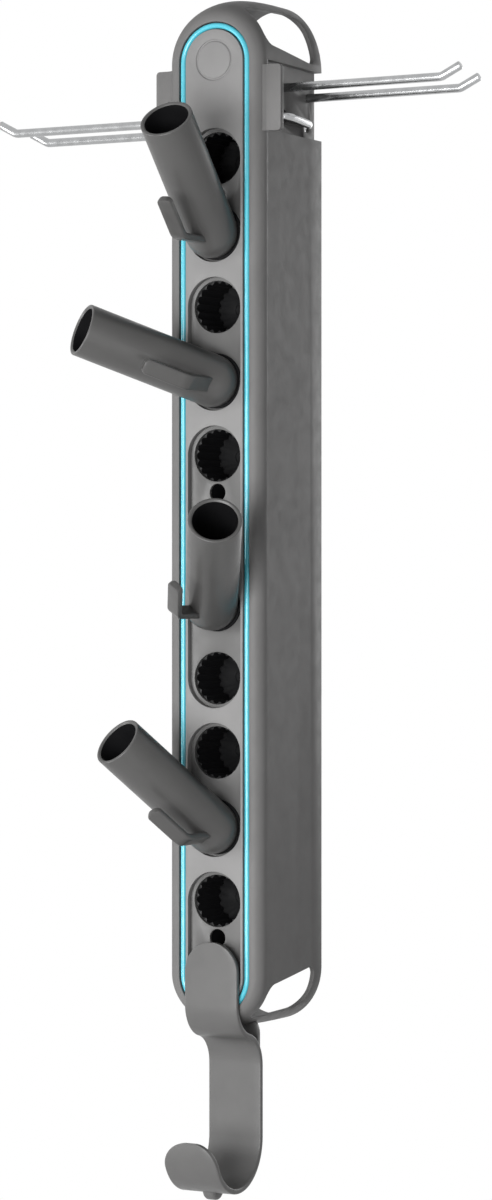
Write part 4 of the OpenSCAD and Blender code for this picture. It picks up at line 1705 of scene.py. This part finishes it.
@dataclass(frozen=True)
class PlatedSteel:
    """Steel with a bright zinc plate: faint drawing lines, small pits and uneven gloss.

    Args:
        name: Name of the material.
        colour: Its colour, linear.
        roughness: Lowest and highest roughness.
        pits: Depth of the pits in metres.
        lines: Stretch of the pattern along X, below 1 for lines along X.
        line_scale: Scale of the drawing lines.
        haze_scale: Scale of the pattern in which colour and gloss wander.
        shares: Shares of the colour between which it wanders.
        bump: Strength of the lines and pits.
    """

    name: str
    colour: Point
    roughness: tuple[float, float] = (0.14, 0.26)
    pits: float = 0.00002
    lines: float = 0.08
    line_scale: float = 1600.0
    haze_scale: float = 180.0
    shares: tuple[float, float] = (0.88, 1.06)
    bump: float = 0.35

    def build(self) -> bpy.types.Material:
        """Make the material's nodes.

        Returns:
            The material.
        """
        tree = NodeTree(self.name)
        place = tree.add("ShaderNodeTexCoord").outputs["Object"]
        stretch = tree.add("ShaderNodeMapping", Scale=(self.lines, 1.0, 1.0))
        tree.link(place, stretch.inputs["Vector"])
        drawn = tree.add("ShaderNodeTexNoise", Scale=self.line_scale, Detail=3.0, Roughness=0.6)
        tree.link(stretch.outputs["Vector"], drawn.inputs["Vector"])
        haze = tree.add("ShaderNodeTexNoise", Scale=self.haze_scale, Detail=5.0, Roughness=0.6)
        tree.link(place, haze.inputs["Vector"])
        ramp = tree.add("ShaderNodeValToRGB")
        for element, share in zip(ramp.color_ramp.elements, self.shares):
            element.color = (*(min(1.0, part * share) for part in self.colour), 1.0)
        ramp.color_ramp.elements[0].position = 0.3
        ramp.color_ramp.elements[1].position = 0.65
        tree.link(haze.outputs["Fac"], ramp.inputs["Fac"])
        bump = tree.add("ShaderNodeBump", Strength=self.bump, Distance=self.pits)
        tree.link(drawn.outputs["Fac"], bump.inputs["Height"])
        shader = tree.add("ShaderNodeBsdfPrincipled", Metallic=1.0)
        tree.link(ramp.outputs["Color"], shader.inputs["Base Color"])
        tree.link(tree.spread(haze, *self.roughness), shader.inputs["Roughness"])
        tree.link(bump.outputs["Normal"], shader.inputs["Normal"])
        tree.link(shader.outputs["BSDF"], tree.add("ShaderNodeOutputMaterial").inputs["Surface"])
        return tree.material


class Finishes:
    """The rack's materials, each made once."""

    def __init__(self) -> None:
        """Make every finish."""
        self.column = GrainedPlastic("satin_grey_plastic", (0.138, 0.136, 0.135), mirror=0.12).build()
        self.face = GrainedPlastic("face_grey_plastic", (0.19, 0.188, 0.187)).build()
        self.holder = GrainedPlastic("holder_grey_plastic", (0.067, 0.066, 0.065), roughness=(0.3, 0.42),
                                     mirror=0.4).build()
        self.strip_hook = GrainedPlastic("hook_grey_plastic", (0.1, 0.099, 0.098),
                                         roughness=(0.34, 0.46)).build()
        # Besides the screw tubes and bushes, this near-black is painted shade in the holders' bores and on
        # the cups' floors.
        self.dark = GrainedPlastic("near_black_plastic", (0.006, 0.006, 0.0065), 0.15, (0.5, 0.65),
                                   mirror=0.06).build()
        self.teeth = GrainedPlastic("socket_black_plastic", (0.007, 0.007, 0.0075), 0.15, (0.35, 0.5),
                                    mirror=0.16).build()
        self.bead = GrainedPlastic("teal_bead_plastic", (0.075, 0.44, 0.54), 0.05, (0.22, 0.32),
                                   grain=0.00001, coat=0.4).build()
        self.wire = PlatedSteel("bright_wire_steel", (0.42, 0.425, 0.43), (0.2, 0.3), 0.000006).build()
        self.screw = PlatedSteel("screw_zinc_steel", (0.55, 0.56, 0.57), (0.24, 0.4), 0.00004, 1.0).build()


def dress(piece: bpy.types.Object, finish: bpy.types.Material, body: str,
          replaces: tuple[str, ...] = (), inside: bpy.types.Material | None = None) -> None:
    """Give a piece its finish and tell the frame what it rides on.

    Args:
        piece: The finished piece.
        finish: Its material.
        body: The body it moves with.
        replaces: The simple solids that it stands for.
        inside: The material of the faces that were marked with the second slot.
    """
    marked = [face.index for face in piece.data.polygons if face.material_index == 1 and inside]
    piece.data.materials.clear()
    for material in filter(None, (finish, inside)):
        piece.data.materials.append(material)
    for face in piece.data.polygons:
        face.material_index = 0
    for index in marked:
        piece.data.polygons[index].material_index = 1
    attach(piece, body)
    if replaces:
        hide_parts(*replaces)
    log.info("%s: %d faces, rides on %s", piece.name, len(piece.data.polygons), body)


# Studio

@dataclass(frozen=True)
class SoftLight:
    """A large soft lamp that looks at the rack.

    Args:
        name: Name of the lamp.
        place: Where it hangs, in metres.
        size: Its width and height.
        power: Its power in watts.
        target: What it looks at.
    """

    name: str
    place: Point
    size: tuple[float, float]
    power: float
    target: Point = (0.0, 0.0, -0.1)

    def build(self) -> None:
        """Hang the lamp."""
        lamp = bpy.data.lights.new(self.name, "AREA")
        lamp.shape = "RECTANGLE"
        lamp.size, lamp.size_y = self.size
        lamp.energy = self.power
        holder = bpy.data.objects.new(self.name, lamp)
        bpy.context.scene.collection.objects.link(holder)
        holder.location = self.place
        look = Vector(self.target) - Vector(self.place)
        holder.rotation_euler = look.to_track_quat("-Z", "Y").to_euler()


@dataclass(frozen=True)
class Studio:
    """The camera, the lamps and the white surroundings.

    Args:
        eye: The camera's place.
        look: Its level direction.
        lens: Focal length in millimetres.
        shift: Shift of the picture's middle.
        ambient: Grey level of the surroundings' own light.
        floor_z: Height of the floor.
    """

    eye: Point = (1.0248, -1.9499, -0.044)
    look: Point = (-0.4738, 0.8807, 0.0)
    lens: float = 72.14
    shift: tuple[float, float] = (0.00446, -0.0276)
    ambient: float = 0.1
    floor_z: float = -1.0

    def camera(self) -> None:
        """Place the camera."""
        lens = bpy.data.cameras.new("studio_camera")
        lens.sensor_fit = "VERTICAL"
        lens.sensor_height = 24.0
        lens.lens = self.lens
        lens.shift_x, lens.shift_y = self.shift
        lens.clip_start, lens.clip_end = 0.05, 50.0
        eye = bpy.data.objects.new("studio_camera", lens)
        bpy.context.scene.collection.objects.link(eye)
        eye.location = self.eye
        eye.rotation_euler = Vector(self.look).to_track_quat("-Z", "Y").to_euler()
        bpy.context.scene.camera = eye

    def lamps(self) -> None:
        """Hang a large lamp in front and weak ones at the sides and behind, and none above."""
        SoftLight("front_light", (0.1, -2.3, -0.2), (1.5, 0.9), 66.0).build()
        SoftLight("left_light", (-1.8, -1.2, -0.1), (0.6, 1.2), 20.0).build()
        SoftLight("right_light", (0.5, -0.6, -0.1), (0.1, 1.1), 0.7, (0.03, -0.08, -0.1)).build()
        SoftLight("rear_light", (0.5, 2.2, 0.3), (1.2, 1.2), 14.0).build()

    def seen_rays(self, tree: bpy.types.NodeTree) -> bpy.types.NodeSocket:
        """Tell the camera's, reflected and transmitted rays from those that carry light.

        Args:
            tree: The node tree to add the nodes to.

        Returns:
            An output that is 1 for rays that are seen.
        """
        rays = tree.nodes.new("ShaderNodeLightPath")
        seen = rays.outputs["Is Camera Ray"]
        for kind in ("Is Glossy Ray", "Is Transmission Ray"):
            either = tree.nodes.new("ShaderNodeMath")
            either.operation = "MAXIMUM"
            tree.links.new(seen, either.inputs[0])
            tree.links.new(rays.outputs[kind], either.inputs[1])
            seen = either.outputs[0]
        return seen

    def surroundings(self) -> None:
        """Make the world white to the camera and in reflections, and grey as a light."""
        world = bpy.data.worlds.new("white_surroundings")
        world.use_nodes = True
        tree = world.node_tree
        tree.nodes.clear()
        mix = tree.nodes.new("ShaderNodeMixShader")
        tree.links.new(self.seen_rays(tree), mix.inputs["Fac"])
        for slot, strength in ((1, self.ambient), (2, 1.0)):
            light = tree.nodes.new("ShaderNodeBackground")
            light.inputs["Color"].default_value = (1.0, 1.0, 1.0, 1.0)
            light.inputs["Strength"].default_value = strength
            tree.links.new(light.outputs[0], mix.inputs[slot])
        out = tree.nodes.new("ShaderNodeOutputWorld")
        tree.links.new(mix.outputs[0], out.inputs["Surface"])
        bpy.context.scene.world = world

    def floor(self) -> None:
        """Lay a pale floor well below the rack, which is as white as the world where it is seen."""
        deselect_everything()
        bpy.ops.mesh.primitive_plane_add(size=12.0, location=(0.0, 0.0, self.floor_z))
        ground = settle(bpy.context.object, "pale_floor")
        look = NodeTree("pale_floor")
        mix = look.add("ShaderNodeMixShader")
        look.link(self.seen_rays(look.tree), mix.inputs["Fac"])
        matt = look.add("ShaderNodeBsdfDiffuse", Color=(0.6, 0.6, 0.6, 1.0))
        white = look.add("ShaderNodeEmission", Color=(1.0, 1.0, 1.0, 1.0), Strength=1.0)
        look.link(matt.outputs[0], mix.inputs[1])
        look.link(white.outputs[0], mix.inputs[2])
        look.link(mix.outputs[0], look.add("ShaderNodeOutputMaterial").inputs["Surface"])
        ground.data.materials.append(look.material)

    def build(self) -> None:
        """Set up the whole studio."""
        self.camera()
        self.lamps()
        self.surroundings()
        self.floor()
        view = bpy.context.scene.view_settings
        view.view_transform = "Standard"


# The rack

@dataclass
class Rack:
    """The whole tool rack, piece by piece.

    Args:
        plan: The shared sizes.
        finishes: Its materials.
        turns: Socket number and turn of each tube holder, from the top.
        wire_y: Plane of the wire hooks' front prongs.
        closed_x: Place of the left and the right hook's closed end.
        wire_z: Height of their front prongs.
    """

    plan: ColumnPlan
    finishes: Finishes
    turns: tuple[tuple[int, float], ...] = ((1, 3.0), (3, -62.0), (6, 36.0), (9, -29.0))
    wire_y: float = -41.398 * MM
    closed_x: tuple[float, float] = (29.4 * MM, -58.5 * MM)
    wire_z: tuple[float, float] = (225.2 * MM, 242 * MM)

    def column(self) -> None:
        """Build the column with its face, bead, strip, cups and tubes."""
        looks = self.finishes
        dress(Housing(self.plan).build(), looks.column, "column", ("housing",))
        face = FrontFace(self.plan)
        dress(face.plate(), looks.face, "column", ("front_face",))
        dress(face.bead(), looks.bead, "column", ("trim_ring",))
        strip = SocketStrip(self.plan)
        dress(strip.plate(), looks.strip_hook, "column", ("socket_strip",))
        for cup in strip.cups():
            # The cups' floors take the near-black finish as painted shade deep in each socket.
            dress(cup, looks.teeth, "column", ("socket_strip",), looks.dark)
        for tube in strip.tubes():
            dress(tube, looks.dark, "column", ("screw_tubes",))

    def holders(self) -> None:
        """Build one tube holder and one bush, and copy both to their sockets."""
        maker = TubeHolder()
        first = maker.build()
        bush = Bush().build()
        for number, (socket, turn) in enumerate(self.turns, start=1):
            height = self.plan.socket_heights[socket]
            placed = maker.placed(first, number, height, turn)
            # The near-black inside material is painted shade in the holder's bore.
            dress(placed, self.finishes.holder, f"holder_body_{number}",
                  (f"holder_{number}",), self.finishes.dark)
            sleeve = shift(copy_of(bush, f"spline_bush_{number}"), (0.0, 0.0, height))
            # The bush's dark flange is partly painted shadow round the holder's base.
            dress(sleeve, self.finishes.dark, f"bush_body_{number}", (f"bush_{number}",))
        for used in (first, bush):
            bpy.data.objects.remove(used, do_unlink=True)

    def hooks(self) -> None:
        """Build the J hook and the two wire hooks."""
        looks = self.finishes
        dress(StripHook(self.plan).build(), looks.strip_hook, "j_hook_body", ("j_hook",))
        for side, closed_x, height in zip(("left", "right"), self.closed_x, self.wire_z):
            wire = WireHook().placed(f"bent_wire_{side}", closed_x, self.wire_y, height, side == "left")
            dress(wire, looks.wire, f"{side}_wire_body", (f"wire_hook_{side}",))

    def screws(self) -> None:
        """Give the hidden screws their finish; their solids stay as they are."""
        for name in ("bush_screw_1", "bush_screw_2", "bush_screw_3", "bush_screw_4",
                     "strip_screws", "face_screws"):
            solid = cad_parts[name]
            solid.data.materials.clear()
            solid.data.materials.append(self.finishes.screw)
            log.info("%s keeps its own solid", name)


def clear_startup_objects() -> None:
    """Remove the objects that an empty file starts with."""
    for name in ("Cube", "Light", "Camera"):
        if name in bpy.data.objects:
            bpy.data.objects.remove(bpy.data.objects[name], do_unlink=True)


def main() -> None:
    """Build the rack and its studio."""
    clear_startup_objects()
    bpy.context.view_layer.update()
    rack = Rack(read_plan(), Finishes())
    rack.column()
    rack.holders()
    rack.hooks()
    rack.screws()
    Studio().build()


if __name__ == "__main__":
    main()
